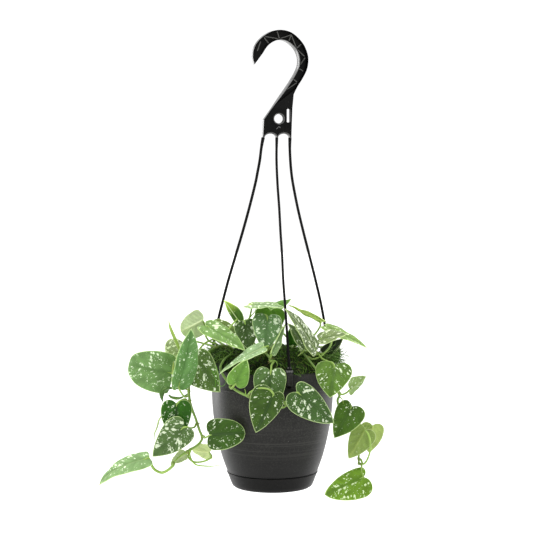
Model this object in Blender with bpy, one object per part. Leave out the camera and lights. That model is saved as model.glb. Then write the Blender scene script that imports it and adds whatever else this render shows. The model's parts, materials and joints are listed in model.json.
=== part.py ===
"""Satin pothos in a hanging pot.

Metres, +Z up, front towards -Y. The origin is the seat of the hanging hook,
the point that a ceiling hook or rail carries. Lengths below are in millimetres
and are laid out in the pot's own frame (pot axis, underside of the saucer);
HOOK_SEAT then carries everything to the origin.
"""

import math

import bmesh
import bpy
import numpy as np

MM = 0.001

# ---------------------------------------------------------------- dimensions
HOOK_SEAT = np.array([7.5, 0.0, 553.0])  # hook seat in the pot's frame

RIM_Z = 149.0
RIM_R = 76.2
RIM_BAND_Z = 127.0
WALL = 1.6
SEAM_Z = 19.6
POT_FLOOR_Z = 20.0
SAUCER_TOP_Z = 19.3
SAUCER_WALL = 1.6
MOSS_EDGE_Z = 147.0
MOSS_TOP_Z = 173.5
SOIL_TOP_Z = 137.0
MOSS_UNDER_Z = 137.3

# clip sockets on the rim: azimuth from the front, positive to the right
SOCKETS = {"front": 14.4, "left": -99.0, "right": 118.0}
SOCKET_R = 80.3
SOCKET_Z = (137.0, 152.6)
PEG = 2.9

# hanger plate: turned about the vertical so that its front looks to the right
PLATE_YAW = 26.0
PLATE_DEPTH = 9.0
WEB_DEPTH = 2.8

BLADE = 0.9  # leaf thickness

# ------------------------------------------------- front elevation drawing
# The plant is set out on a front elevation seen in mild perspective from EYE.
EYE = (-7.3, -1994.8, 419.3)
EYE_TILT = math.radians(4.15)
EYE_FOCUS = 1615.0
SHEET_MID = 266.5


def at(u, v, y):
    """The point, in mm, drawn at (u, v) on the elevation and y mm behind the pot's axis."""
    below = EYE_TILT + math.atan((v - SHEET_MID) / EYE_FOCUS)
    run = y - EYE[1]
    z = EYE[2] - run * math.tan(below)
    depth = run * math.cos(EYE_TILT) + (EYE[2] - z) * math.sin(EYE_TILT)
    x = EYE[0] + (u - SHEET_MID) / EYE_FOCUS * depth
    return np.array([x, y, z])


def ring(azimuth, radius, z):
    """The point at an azimuth round the pot, from the front and positive to the right."""
    a = math.radians(azimuth)
    return np.array([radius * math.sin(a), -radius * math.cos(a), z])


def place(p):
    """A drawn point (u, v, y), or a round-the-pot point ('r', azimuth, radius, z)."""
    return ring(*p[1:]) if p[0] == "r" else at(*p)


# ------------------------------------------------------------------- vines
# name: (radius, points from the moss to the growing tip)
VINES = {
    "vine_left": (1.6, [
        (236, 356, -8), (230, 348, -12), (220, 346, -20), (207, 353, -34), (196, 367, -46), (189.6, 382, -50),
        (189.4, 398, -50), (191.7, 408, -49), (195.1, 417.1, -48), (197.4, 424, -48),
        (199.7, 430.9, -48), (202, 436.7, -49), (200.9, 441.3, -52), (196.3, 445.9, -55),
        (189.4, 449.9, -58), (182.5, 454.5, -60), (176, 459.8, -61), (172, 464.5, -61)]),
    "vine_front": (1.5, [
        (236, 360, -24), (231, 355, -32), (224, 360, -42), (220.5, 367.5, -51), (222.5, 374, -56),
        (231.8, 386.8, -68), (240, 392.5, -77), (249, 396.7, -85), (262, 402, -90.5),
        (275, 406.5, -92), (283.4, 407.2, -92), (287.3, 403.5, -92)]),
    "vine_right": (1.5, [
        (298, 358, -16), (300, 351, -24), (306, 356.5, -38), (312, 364, -49), (318, 371, -56), (326, 379, -59),
        (334, 387, -57), (339.3, 394.6, -53), (337.6, 400.5, -49), (339.6, 407.6, -42),
        (345, 417, -36), (352, 425.5, -32), (357.5, 432, -31), (360, 440, -31),
        (360.2, 448.9, -31), (358.7, 457, -31), (359, 464, -31)]),
    "vine_crown_left": (1.5, [
        (243, 358, -2), (243, 347, -4), (240, 336, -6), (240, 327, -6), (246, 320, -8)]),
    "vine_crown_mid": (1.6, [
        (262, 355, -22), (262.4, 350.2, -29), (264.4, 352.2, -40), (267.2, 354.8, -52),
        (269.3, 357.4, -63), (270.6, 361.6, -71)]),
    "vine_crown_right": (1.5, [
        (290, 356, -4), (294, 347, -8), (302, 343, -14), (310, 345, -24), (314, 351, -34), (316.6, 354.6, -41)]),
    "vine_back": (1.6, [
        ("r", 170, 34, 168), ("r", 168, 50, 172), ("r", 166, 68, 166), ("r", 165, 82, 152), ("r", 166, 87, 132),
        ("r", 170, 88, 110), ("r", 176, 86, 88), ("r", 182, 83, 68), ("r", 186, 80, 50)]),
}

# ------------------------------------------------------------------ leaves
# base and tip on the elevation; wide = width / length; roll = turn of the
# upper face about the midrib, from facing the front; fold = each half raised;
# curl = bend of the midrib towards the underside; skew = one half wider;
# stalk = points from the vine to the blade, the first on the vine.
LEAVES = {
    "leaf_a": dict(base=(171.2, 373.0, -38), tip=(128.6, 363.2, -30), wide=0.88, roll=-8, fold=8, curl=70, skew=-0.06, blunt=0.85, lobe=0.3,
                   vine="vine_left", stalk=[(196, 367, -46), (189, 371, -43), (182, 375.5, -40), (176, 376.4, -38)]),
    "leaf_b": dict(base=(178.6, 386.5, -74), tip=(191.2, 328.5, -68), wide=0.62, roll=42, fold=14, curl=16, twist=34, lobe=0.5,
                   vine="vine_left", stalk=[(189.4, 391, -50), (188.2, 395.6, -56), (184.5, 396.6, -66), (180.8, 392, -73)]),
    "leaf_c": dict(base=(183, 343.2, -30), tip=(179, 372, -24), wide=1.05, roll=0, fold=6, curl=14, skew=0.1,
                   vine="vine_left", stalk=[(215, 347.4, -25), (204, 343.5, -20), (193, 341.2, -23)]),
    "leaf_e": dict(base=(202.5, 320.6, -2), tip=(180.4, 331.0, -20), wide=0.98, roll=166, fold=12, curl=-34, skew=0.04, blunt=0.9,
                   vine="vine_left", stalk=[(224, 346, -17), (212, 337, -4), (206, 328, 2)]),
    "leaf_f": dict(base=(212, 326.5, -2), tip=(239, 333, -16), wide=0.72, roll=-36, fold=8, curl=20, skew=0.0,
                   vine="vine_crown_left", stalk=[(240, 335, -6), (226, 335, 6), (215, 331, 4)]),
    "leaf_g": dict(base=(207.0, 326.2, -46), tip=(245.2, 350.8, -68), wide=0.60, roll=-50, fold=8, curl=16, skew=0.0,
                   vine="vine_left", stalk=[(217, 347, -23), (209, 341, -28), (205, 333.5, -40)]),
    "leaf_h": dict(base=(196.6, 357.4, -48), tip=(220.2, 392.2, -66), wide=0.84, roll=8, fold=6, curl=22, skew=0.26,
                   vine="vine_left", stalk=[(228, 347.3, -14), (220, 338, -24), (206, 342.5, -34), (198.5, 351, -44)]),
    "leaf_i": dict(base=(263.6, 347.2, -66), tip=(218.8, 374.8, -76), wide=0.40, roll=66, fold=12, curl=18, twist=-26, lobe=0.3,
                   vine="vine_crown_mid", stalk=[(266, 353.0, -46), (268.4, 348.2, -50), (268.2, 346.2, -62)]),
    "leaf_j": dict(base=(235.8, 383.4, -84), tip=(247, 359, -91), wide=0.76, roll=8, fold=6, curl=14, skew=0.0,
                   vine="vine_front", stalk=[(232, 387, -68.5), (231.2, 388.6, -75), (232.5, 387.2, -82)]),
    "leaf_k": dict(base=(270.6, 372.6, -82), tip=(267.4, 416, -85), wide=0.75, roll=0, fold=4, curl=12, skew=0.0,
                   vine="vine_crown_mid", stalk=[(270.4, 360.8, -70.5), (271.6, 365, -77), (271.2, 368.6, -81)]),
    "leaf_m": dict(base=(273.6, 394.2, -103), tip=(255.7, 432.9, -105), wide=0.80, roll=-4, fold=-12, curl=22, skew=0.22,
                   vine="vine_front", stalk=[(249, 396.7, -85), (251.5, 391.4, -92), (260, 388.2, -98), (269, 389.4, -102)]),
    "leaf_n": dict(base=(297.6, 392.4, -98), tip=(334.2, 423.3, -84), wide=0.62, roll=-6, fold=4, curl=18, skew=0.14,
                   vine="vine_front", stalk=[(286.5, 404.3, -92), (288.5, 399, -94), (292.5, 394.6, -96.5)]),
    "leaf_o": dict(base=(334.3, 365.6, -60), tip=(330, 397.8, -78), wide=1.08, roll=6, fold=4, curl=14, skew=0.0,
                   vine="vine_crown_right", stalk=[(316.0, 353.5, -39), (322, 358.5, -44), (328, 361.6, -53), (332, 362.6, -58)]),
    "leaf_p": dict(base=(350.4, 388.8, -48), tip=(366.3, 376.4, -36), wide=1.06, roll=-125, fold=14, curl=-10, lobe=0.6,
                   vine="vine_right", stalk=[(337, 391.5, -55), (341.5, 394.5, -58), (346.5, 392.8, -53)]),
    "leaf_q": dict(base=(351.3, 407, -50), tip=(334.1, 438.2, -58), wide=0.84, roll=10, fold=6, curl=14, skew=-0.14,
                   vine="vine_right", stalk=[(341.5, 411.3, -39.5), (346, 407.5, -42), (350, 405, -47)]),
    "leaf_r": dict(base=(364.6, 430.4, -44), tip=(348.5, 458.9, -51), wide=0.78, roll=176, fold=10, curl=14, skew=0.1,
                   vine="vine_right", stalk=[(359.6, 459, -31), (363.2, 464.0, -37), (366.8, 460.5, -44), (370.2, 450.5, -50), (370, 440, -51), (367.6, 433, -48)]),
    "leaf_s": dict(base=(372.4, 426, -20), tip=(369, 453, -27), wide=0.92, roll=172, fold=8, curl=12, skew=0.0,
                   vine="vine_right", stalk=[(353.5, 427.4, -31.8), (360, 428.6, -25), (368, 426.6, -20)]),
    "leaf_t": dict(base=(363.3, 477, -36), tip=(324.4, 494.8, -48), wide=0.70, roll=8, fold=5, curl=22, skew=-0.24, blunt=0.35,
                   vine="vine_right", stalk=[(359.1, 464, -31), (361.4, 470.5, -33)]),
    "leaf_u": dict(base=(176.6, 404.4, -60), tip=(175.6, 442.5, -62), wide=0.82, roll=2, fold=10, curl=12, skew=0.0,
                   vine="vine_left", stalk=[(189.5, 400.5, -50), (185.5, 399, -55), (180.4, 400.8, -59)]),
    "leaf_v": dict(base=(183.4, 427.4, -71), tip=(152.3, 456.8, -76), wide=0.74, roll=-2, fold=5, curl=14, skew=0.0,
                   vine="vine_left", stalk=[(197.4, 424, -48), (194.6, 427, -55), (190.8, 428, -64), (187, 427, -70)]),
    "leaf_w": dict(base=(148.6, 458.2, -64), tip=(98.8, 486.0, -68), wide=0.40, roll=44, fold=4, curl=66, lobe=0.3,
                   vine="vine_left", stalk=[(172.4, 464.0, -60.8), (168, 470, -62), (161.5, 472.6, -62), (154.5, 469.4, -62.5), (150.8, 463.4, -64)]),
    "leaf_x": dict(base=(184.6, 454, -46), tip=(170.6, 463.6, -47), wide=0.74, roll=158, fold=8, curl=10,
                   vine="vine_left", stalk=[(190.5, 449.4, -57.6), (190, 452, -49)]),
    "leaf_y": dict(base=(209.4, 452.2, -56), tip=(190.8, 448.6, -40), wide=0.78, roll=146, fold=10, curl=-20,
                   vine="vine_left", stalk=[(187.2, 451.3, -58.6), (188.2, 457.0, -60), (193.6, 461.8, -62), (203.4, 461.4, -63), (211, 457.4, -61)]),
    "leaf_z": dict(base=(210.5, 435.0, -62), tip=(245.4, 433.0, -71), wide=0.82, roll=-4, fold=6, curl=70, skew=0.0, blunt=0.85,
                   vine="vine_left", stalk=[(202, 436.7, -49), (204.6, 437.8, -54), (208.6, 436, -58.5)]),
    # crown of the plant
    "leaf_b2": dict(base=(252, 304.8, -24), tip=(285, 308.2, -48), wide=0.56, roll=-68, fold=6, curl=18, lobe=1.8,
                    vine="vine_crown_left", stalk=[(244.5, 321.3, -7.6), (249.0, 319, -12), (251.3, 310, -19)]),
    "leaf_a2": dict(base=(237.4, 319.0, -34), tip=(223.8, 300.2, -36), wide=0.56, roll=-20, fold=12, curl=-10, skew=0.3, lobe=1.6,
                    vine="vine_left", stalk=[(231, 348.2, -11), (226, 340, -30), (227.5, 331.5, -39), (233, 323.6, -37)]),
    "leaf_c2": dict(base=(264, 308.4, 12), tip=(291.5, 298.6, 28), wide=0.80, roll=116, fold=10, curl=14,
                    vine="vine_crown_right", stalk=[(293.9, 347.8, -7.8), (284, 334, 6), (268, 318, 14)]),
    "leaf_d2": dict(base=(270.6, 310.6, -2), tip=(266, 342, -12), wide=0.96, roll=176, fold=6, curl=10,
                    vine="vine_crown_mid", stalk=[(263.6, 352.8, -36), (268.5, 349.5, -32), (276, 343, -20), (282, 329, -4), (275.4, 312, 1)]),
    "leaf_e2": dict(base=(267.4, 317.6, -26), tip=(265.4, 351.6, -42), wide=0.84, roll=-4, fold=6, curl=16,
                    vine="vine_crown_mid", stalk=[(262.3, 351.4, -27), (252, 339, -18), (256, 322, -16), (264.4, 314.8, -23)]),
    "leaf_f2": dict(base=(245, 323, -20), tip=(250, 351, -34), wide=0.80, roll=0, fold=8, curl=14,
                    vine="vine_crown_left", stalk=[(242.4, 323.5, -7), (243.5, 320, -14)]),
    "leaf_g2": dict(base=(271, 353.0, -71.5), tip=(285.3, 323.3, -58), wide=0.40, roll=50, fold=42, curl=-6, lobe=0.4,
                    vine="vine_crown_mid", stalk=[(270, 358, -68.5), (271.2, 356, -72)]),
    "leaf_h2": dict(base=(315.6, 349.6, -56), tip=(284.6, 308.5, -72), wide=0.46, roll=56, fold=6, curl=20, lobe=0.4,
                    vine="vine_right", stalk=[(302.5, 352.6, -29), (306, 351.0, -38), (311, 348.6, -48), (315, 350.8, -54)]),
    "leaf_i2": dict(base=(305.0, 345.6, -42), tip=(287.6, 323, -46), wide=0.56, roll=40, fold=6, curl=14, lobe=0.6,
                    vine="vine_crown_right", stalk=[(307.5, 343.6, -19), (306.6, 349, -30), (306.2, 349, -38)]),
    "leaf_j2": dict(base=(293, 343.6, -20), tip=(291, 326.2, -34), wide=0.60, roll=178, fold=6, curl=8,
                    vine="vine_crown_right", stalk=[(295, 348.2, -9.0), (294.6, 345.5, -15)]),
    "leaf_k2": dict(base=(319.8, 320.4, -16), tip=(287, 304.6, -34), wide=0.40, roll=108, fold=8, curl=10,
                    vine="vine_crown_right", stalk=[(299.5, 344.6, -12), (312, 337, -8), (319.8, 327, -11)]),
    "leaf_l2": dict(base=(319.6, 338.8, -33), tip=(346.8, 334.4, -40), wide=0.86, roll=-56, fold=4, curl=10, skew=-0.15,
                    vine="vine_crown_right", stalk=[(310.5, 345.8, -25.5), (315, 344.4, -27), (317.6, 342, -31)]),
    "leaf_m2": dict(base=(327.6, 327.4, 4), tip=(367.5, 348.4, -16), wide=0.46, roll=-64, fold=8, curl=12,
                    vine="vine_right", stalk=[(306.6, 357.4, -39.5), (313, 359.2, -37), (321, 356.0, -34), (329.7, 347.1, -26), (331.7, 340.4, -18), (330.6, 333, -8)]),
    "leaf_o2": dict(base=(331, 347, 6), tip=(337.6, 364, 16), wide=0.78, roll=6, fold=8, curl=18,
                    vine="vine_crown_right", stalk=[(305, 343.2, -17), (316, 347, 0), (327, 346.4, 8)]),
    "leaf_p2": dict(base=(324.4, 353.2, -18), tip=(343.4, 338.4, -14), wide=0.56, roll=168, fold=4, curl=10, lobe=0.6,
                    vine="vine_crown_right", stalk=[(313.6, 350.4, -33), (317.5, 352.4, -26), (321, 353.6, -20)]),
    # behind the pot
    "leaf_back_1": dict(base=("r", 156, 90, 146), tip=("r", 150, 98, 92), wide=0.78, roll=-8, out=True, fold=8, curl=18,
                        vine="vine_back", stalk=[("r", 165.2, 83.5, 149), ("r", 160, 89, 151)]),
    "leaf_back_2": dict(base=("r", 177, 95, 134), tip=("r", 198, 101, 88), wide=0.80, roll=8, out=True, fold=6, curl=20,
                        vine="vine_back", stalk=[("r", 166, 87, 133), ("r", 171, 94, 136)]),
    "leaf_back_3": dict(base=("r", 162, 98, 106), tip=("r", 150, 102, 54), wide=0.76, roll=0, out=True, fold=8, curl=14,
                        vine="vine_back", stalk=[("r", 169.5, 88, 112), ("r", 166, 96, 110)]),
    "leaf_back_4": dict(base=("r", 190, 92, 64), tip=("r", 204, 94, 14), wide=0.78, roll=6, out=True, fold=8, curl=16,
                        vine="vine_back", stalk=[("r", 182, 83, 68), ("r", 186, 91, 68)]),
    "leaf_back_5": dict(base=("r", 184, 84, 42), tip=("r", 168, 86, -6), wide=0.76, roll=-4, out=True, fold=8, curl=16,
                        vine="vine_back", stalk=[("r", 186, 80.2, 50.6), ("r", 186, 84, 48)]),
}

# a leaf that hasn't opened yet: points from its vine to its tip, and the radius along it
SPEARS = {
    "leaf_d": ("vine_left", [(205.6, 354.6, -35), (198, 353.4, -36), (190, 354, -38), (183, 352.6, -40), (179.2, 348, -42), (176.6, 342, -43), (173, 334, -43), (170.2, 327, -42), (168.7, 321.2, -41)],
               [1.1, 0.9, 0.9, 1.1, 1.5, 1.9, 1.9, 1.5, 0.35]),
}

# outline of one half of a leaf of length 1 and width 1, from the notch round the lobe to the tip
HALF_LEAF = [(0.0, 0.0), (0.05, -0.055), (0.15, -0.108), (0.29, -0.118), (0.425, -0.055), (0.498, 0.08), (0.498, 0.23),
             (0.45, 0.41), (0.355, 0.60), (0.23, 0.775), (0.10, 0.915), (0.0, 1.0)]
# the same for a leaf whose tip rolls under, so that its end looks rounded
BLUNT_LEAF = [(0.0, 0.0), (0.05, -0.055), (0.15, -0.108), (0.29, -0.118), (0.425, -0.055), (0.498, 0.08), (0.51, 0.23),
              (0.50, 0.42), (0.455, 0.62), (0.37, 0.79), (0.215, 0.935), (0.0, 1.0)]


# ----------------------------------------------------------- curve geometry
def smooth(points, count):
    """Points spread evenly along the smooth curve through the given ones."""
    p = np.asarray(points, float)
    if len(p) == 2:
        t = np.linspace(0, 1, count)[:, None]
        return p[0] * (1 - t) + p[1] * t
    q = np.vstack([2 * p[0] - p[1], p, 2 * p[-1] - p[-2]])
    fine = []
    for i in range(1, len(q) - 2):
        for t in np.linspace(0, 1, 24, endpoint=False):
            fine.append(0.5 * (2 * q[i] + (q[i + 1] - q[i - 1]) * t
                               + (2 * q[i - 1] - 5 * q[i] + 4 * q[i + 1] - q[i + 2]) * t * t
                               + (3 * q[i] - q[i - 1] - 3 * q[i + 1] + q[i + 2]) * t ** 3))
    fine = np.array(fine + [p[-1]])
    run = np.concatenate([[0], np.cumsum(np.linalg.norm(np.diff(fine, axis=0), axis=1))])
    want = np.linspace(0, run[-1], count)
    return np.stack([np.interp(want, run, fine[:, k]) for k in range(fine.shape[1])], 1)


def through(points, each):
    """Points on the smooth curve through the given ones, the same number between each two."""
    p = np.asarray(points, float)
    q = np.vstack([2 * p[0] - p[1], p, 2 * p[-1] - p[-2]])
    fine = []
    for i in range(1, len(q) - 2):
        for t in np.linspace(0, 1, each, endpoint=False):
            fine.append(0.5 * (2 * q[i] + (q[i + 1] - q[i - 1]) * t
                               + (2 * q[i - 1] - 5 * q[i] + 4 * q[i + 1] - q[i + 2]) * t * t
                               + (3 * q[i] - q[i - 1] - 3 * q[i + 1] + q[i + 2]) * t ** 3))
    return np.array(fine + [p[-1]])


def unit(v):
    return v / max(np.linalg.norm(v), 1e-12)


def sweep(path, radius, sides, flat=None):
    """A closed tube round a path. radius is a number or one for each point; flat=(wide, thin, direction)."""
    path = np.asarray(path, float)
    n = len(path)
    radius = np.broadcast_to(np.asarray(radius, float), (n,))
    tangent = np.gradient(path, axis=0)
    tangent /= np.linalg.norm(tangent, axis=1)[:, None]
    side = flat[2] if flat else np.array([0.31, -0.83, 0.46])
    verts = []
    for i in range(n):
        side = unit(side - tangent[i] * np.dot(side, tangent[i]))
        other = np.cross(tangent[i], side)
        for k in range(sides):
            a = 2 * math.pi * (k + 0.5) / sides
            if flat:
                verts.append(path[i] + side * math.cos(a) * flat[0] * radius[i] + other * math.sin(a) * flat[1] * radius[i])
            else:
                verts.append(path[i] + (side * math.cos(a) + other * math.sin(a)) * radius[i])
    faces = []
    for i in range(n - 1):
        for k in range(sides):
            a, b = i * sides + k, i * sides + (k + 1) % sides
            faces.append((a, b, b + sides, a + sides))
    faces.append(tuple(range(sides - 1, -1, -1)))
    faces.append(tuple((n - 1) * sides + k for k in range(sides)))
    return np.array(verts), faces


# ------------------------------------------------------------ leaf geometry
def half_outline(spec):
    blunt = spec.get("blunt", 0.0)
    return [(a[0] * (1 - blunt) + b[0] * blunt, a[1] * (1 - blunt) + b[1] * blunt) for a, b in zip(HALF_LEAF, BLUNT_LEAF)]


def leaf_sheet(spec, rows, across):
    """The leaf's middle surface: points and quads or triangles facing the upper side."""
    wide, skew, lobe = spec["wide"], spec.get("skew", 0.0), spec.get("lobe", 1.0)
    fold = math.radians(spec.get("fold", 0.0))
    curl = math.radians(spec.get("curl", 0.0))
    twist = math.radians(spec.get("twist", 0.0))
    edge = smooth(half_outline(spec), rows + 1)
    # the midrib as an arc that bends towards the underside, more towards the tip
    steps = 200
    s = np.linspace(0, 1, steps + 1)
    turn = -curl * (0.15 + 0.85 * s) * s
    arc = np.vstack([[0, 0], np.cumsum(np.stack([np.cos(turn), np.sin(turn)], 1)[:-1] / steps, axis=0)])

    def midrib(y):
        if y < 0:
            return np.array([y * math.cos(turn[0]), y * math.sin(turn[0])]), turn[0]
        k = min(int(y * steps), steps - 1)
        f = y * steps - k
        return arc[k] * (1 - f) + arc[k + 1] * f, turn[k] * (1 - f) + turn[k + 1] * f

    def bend(x, y, row):
        half = abs(x)
        rise = half * math.sin(fold) - 0.16 * half * half / max(wide, 0.2)
        out = x * math.cos(fold)
        a = twist * (y - 0.5)
        out, rise = out * math.cos(a) - rise * math.sin(a), out * math.sin(a) + rise * math.cos(a)
        c, t = midrib(y)
        return np.array([out, c[0] - math.sin(t) * rise, c[1] + math.cos(t) * rise])

    points = [bend(0, 0, 0)]
    for i in range(1, rows):
        a = i / rows
        mid = a * a
        line = []
        for j in range(-across, across + 1):
            b = abs(j) / across
            w = wide * (1 + skew) if j > 0 else wide * (1 - skew)
            x = b * edge[i, 0] * w * (1 if j > 0 else -1)
            y = mid * (1 - b) + (edge[i, 1] if edge[i, 1] > 0 else edge[i, 1] * lobe) * b
            line.append(bend(x, y, i))
        points += line
    points.append(bend(0, 1, rows))
    n = 2 * across + 1
    faces = []
    for j in range(n - 1):
        faces.append((0, 1 + j + 1, 1 + j))
    for i in range(rows - 2):
        o = 1 + i * n
        for j in range(n - 1):
            faces.append((o + j, o + j + 1, o + n + j + 1, o + n + j))
    o, last = 1 + (rows - 2) * n, len(points) - 1
    for j in range(n - 1):
        faces.append((o + j, o + j + 1, last))
    return np.array(points), faces, arc[-1]


def leaf_frame(spec, reach):
    """Origin, axes (right, along, up) and true length of the leaf."""
    base, tip = place(spec["base"]), place(spec["tip"])
    along = unit(tip - base)
    look = unit(base * np.array([1, 1, 0])) if spec.get("out") else unit(np.array(EYE) - base)
    up = unit(look - along * np.dot(look, along))
    a = math.radians(spec["roll"])
    up = up * math.cos(a) + np.cross(along, up) * math.sin(a)
    chord = math.hypot(*reach)
    length = np.linalg.norm(tip - base) / chord
    # the drawn chord runs from base to tip; the local one leans by this much
    lean = math.atan2(reach[1], reach[0])
    y_axis = along * math.cos(lean) - up * math.sin(lean)
    z_axis = along * math.sin(lean) + up * math.cos(lean)
    return base, np.cross(y_axis, z_axis), y_axis, z_axis, length


def leaf_points(spec, rows, across):
    flat, faces, reach = leaf_sheet(spec, rows, across)
    base, x, y, z, length = leaf_frame(spec, reach)
    points = base + length * (flat[:, :1] * x + flat[:, 1:2] * y + flat[:, 2:] * z)
    return points, faces, (base, x, y, z, length)


def thicken(points, faces, thick):
    """A closed solid of even thickness round an open sheet."""
    normal = np.zeros_like(points)
    for f in faces:
        p = points[list(f)]
        n = np.cross(p[1] - p[0], p[2] - p[0])
        if len(f) == 4:
            n = n + np.cross(p[2] - p[0], p[3] - p[0])
        for k in f:
            normal[k] += n
    normal /= np.maximum(np.linalg.norm(normal, axis=1), 1e-12)[:, None]
    n = len(points)
    verts = np.vstack([points + normal * thick / 2, points - normal * thick / 2])
    solid = [tuple(f) for f in faces] + [tuple(k + n for k in reversed(f)) for f in faces]
    count = {}
    for f in faces:
        for a, b in zip(f, f[1:] + f[:1]):
            count[(a, b)] = count.get((a, b), 0) + 1
    for a, b in count:
        if (b, a) not in count:
            solid.append((b, a, a + n, b + n))
    return verts, solid


# ---------------------------------------------------------- blender helpers
def to_world(p):
    return (np.asarray(p, float) - HOOK_SEAT) * MM


def material(name, colour, roughness, metallic=0.0):
    mat = bpy.data.materials.get(name)
    if mat is None:
        mat = bpy.data.materials.new(name)
        mat.use_nodes = True
        shader = mat.node_tree.nodes["Principled BSDF"]
        shader.inputs["Base Color"].default_value = (*colour, 1)
        shader.inputs["Roughness"].default_value = roughness
        shader.inputs["Metallic"].default_value = metallic
        mat.diffuse_color = (*colour, 1)
    return mat


def add_mesh(name, verts, faces, mat, hidden=False, world=True):
    mesh = bpy.data.meshes.new(name)
    verts = to_world(verts) if world else np.asarray(verts, float) * MM
    mesh.from_pydata([tuple(v) for v in verts], [], [tuple(f) for f in faces])
    mesh.validate()
    obj = bpy.data.objects.new(name, mesh)
    bpy.context.scene.collection.objects.link(obj)
    if mat:
        mesh.materials.append(mat)
    if hidden:
        obj.hide_render = True
        obj.display_type = "WIRE"
    edit = bmesh.new()
    edit.from_mesh(mesh)
    bmesh.ops.recalc_face_normals(edit, faces=edit.faces)
    edit.to_mesh(mesh)
    edit.free()
    return obj


def boolean(obj, other, operation):
    mod = obj.modifiers.new(operation.title() + " " + other.name, "BOOLEAN")
    mod.operation = operation
    mod.object = other
    mod.solver = "EXACT"
    other.hide_render = True
    other.display_type = "WIRE"
    return mod


def lathe(profile, sides):
    """A closed ring or bowl turned from a closed profile of (radius, z); radius 0 closes on the axis."""
    verts, faces, rows = [], [], []
    for r, z in profile:
        if r < 1e-6:
            rows.append([len(verts)])
            verts.append((0, 0, z))
        else:
            rows.append(list(range(len(verts), len(verts) + sides)))
            for k in range(sides):
                a = 2 * math.pi * k / sides
                verts.append((r * math.sin(a), -r * math.cos(a), z))
    n = len(rows)
    for i in range(n):
        a, b = rows[i], rows[(i + 1) % n]
        if len(a) == 1 and len(b) == 1:
            continue
        for k in range(sides):
            m = (k + 1) % sides
            if len(a) == 1:
                faces.append((a[0], b[m], b[k]))
            elif len(b) == 1:
                faces.append((a[k], a[m], b[0]))
            else:
                faces.append((a[k], a[m], b[m], b[k]))
    return np.array(verts, float), faces


def prism(outline, low, high, frame):
    """A slab with a drawn outline (a, z), from low to high through the plate, in the plate's frame."""
    origin, right, normal = frame
    n = len(outline)
    verts = [origin + right * a + np.array([0, 0, z]) + normal * d for d in (low, high) for a, z in outline]
    faces = [tuple(range(n)), tuple(range(2 * n - 1, n - 1, -1))]
    for k in range(n):
        m = (k + 1) % n
        faces.append((k, m, m + n, k + n))
    return np.array(verts), faces


def box(centre, size, azimuth=0.0):
    """A box whose local Y points outwards at the azimuth."""
    a = math.radians(azimuth)
    right = np.array([math.cos(a), math.sin(a), 0])
    out = np.array([math.sin(a), -math.cos(a), 0])
    up = np.array([0, 0, 1.0])
    c = np.asarray(centre, float)
    verts = [c + right * sx * size[0] / 2 + out * sy * size[1] / 2 + up * sz * size[2] / 2
             for sz in (-1, 1) for sx, sy in ((-1, -1), (1, -1), (1, 1), (-1, 1))]
    faces = [(3, 2, 1, 0), (4, 5, 6, 7), (0, 1, 5, 4), (1, 2, 6, 5), (2, 3, 7, 6), (3, 0, 4, 7)]
    return np.array(verts), faces


def drum(centre, axis, radius, length, sides=16):
    """A closed cylinder about an axis."""
    axis = unit(np.asarray(axis, float))
    c = np.asarray(centre, float)
    return sweep([c - axis * length / 2, c + axis * length / 2], radius, sides)


# ------------------------------------------------------------------- pot
def outer_wall(z):
    """Outside radius of the pot and saucer at a height above the table line."""
    return float(np.interp(z, [0, 2, 6, 14, 22, 37, 52, 68, 83, 98, 113, 127, 149],
                           [47, 50.2, 51.8, 54.6, 57.3, 62.6, 66.7, 70.2, 72.9, 74.6, 75.5, 75.9, 76.2]))


def make_pot(mat):
    levels = [POT_FLOOR_Z, 28, 37, 52, 68, 83, 98, 113, 125.8]
    outside = [(outer_wall(z) - 0.2, z) for z in levels]
    band = [(75.9, 126.4), (76.6, RIM_BAND_Z), (76.4, RIM_BAND_Z + 0.9), (76.2, 138), (RIM_R, RIM_Z - 0.8), (RIM_R - 0.6, RIM_Z)]
    inside = [(RIM_R - 2.6, RIM_Z), (RIM_R - 3.2, RIM_Z - 0.8), (RIM_R - 3.2, RIM_BAND_Z + 1.6), (outer_wall(125) - WALL, RIM_BAND_Z - 0.6)]
    inside += [(outer_wall(z) - 0.2 - WALL, z) for z in (98, 83, 68, 52, 37, 28)]
    inside += [(outer_wall(22) - WALL - 1.6, POT_FLOOR_Z + 2.0), (0, POT_FLOOR_Z + 2.0)]
    # short skirt below the floor, which plugs into the saucer
    skirt = [(0, POT_FLOOR_Z), (49.4, POT_FLOOR_Z), (49.4, 13.6), (51.2, 13.6), (51.2, POT_FLOOR_Z)]
    verts, faces = lathe(skirt[:-1] + [(51.2, POT_FLOOR_Z)] + outside + band + inside, 40)
    pot = add_mesh("pot", verts, faces, mat)
    for name, azimuth in SOCKETS.items():
        mid = (SOCKET_Z[0] + SOCKET_Z[1]) / 2
        block = add_mesh("cut_socket_" + name, *box(ring(azimuth, SOCKET_R - 1.0, mid), (7.6, 9.0, SOCKET_Z[1] - SOCKET_Z[0]), azimuth), mat, hidden=True)
        boolean(pot, block, "UNION")
        bore = add_mesh("cut_bore_" + name, *box(ring(azimuth, SOCKET_R, mid), (3.9, 3.9, 40), azimuth), mat, hidden=True)
        boolean(pot, bore, "DIFFERENCE")
    for k in range(5):
        hole = add_mesh(f"cut_drain_{k}", *drum(ring(36 + 72 * k, 34, POT_FLOOR_Z + 1), (0, 0, 1), 4.0, 8, 10), mat, hidden=True)
        boolean(pot, hole, "DIFFERENCE")
    return pot


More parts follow.
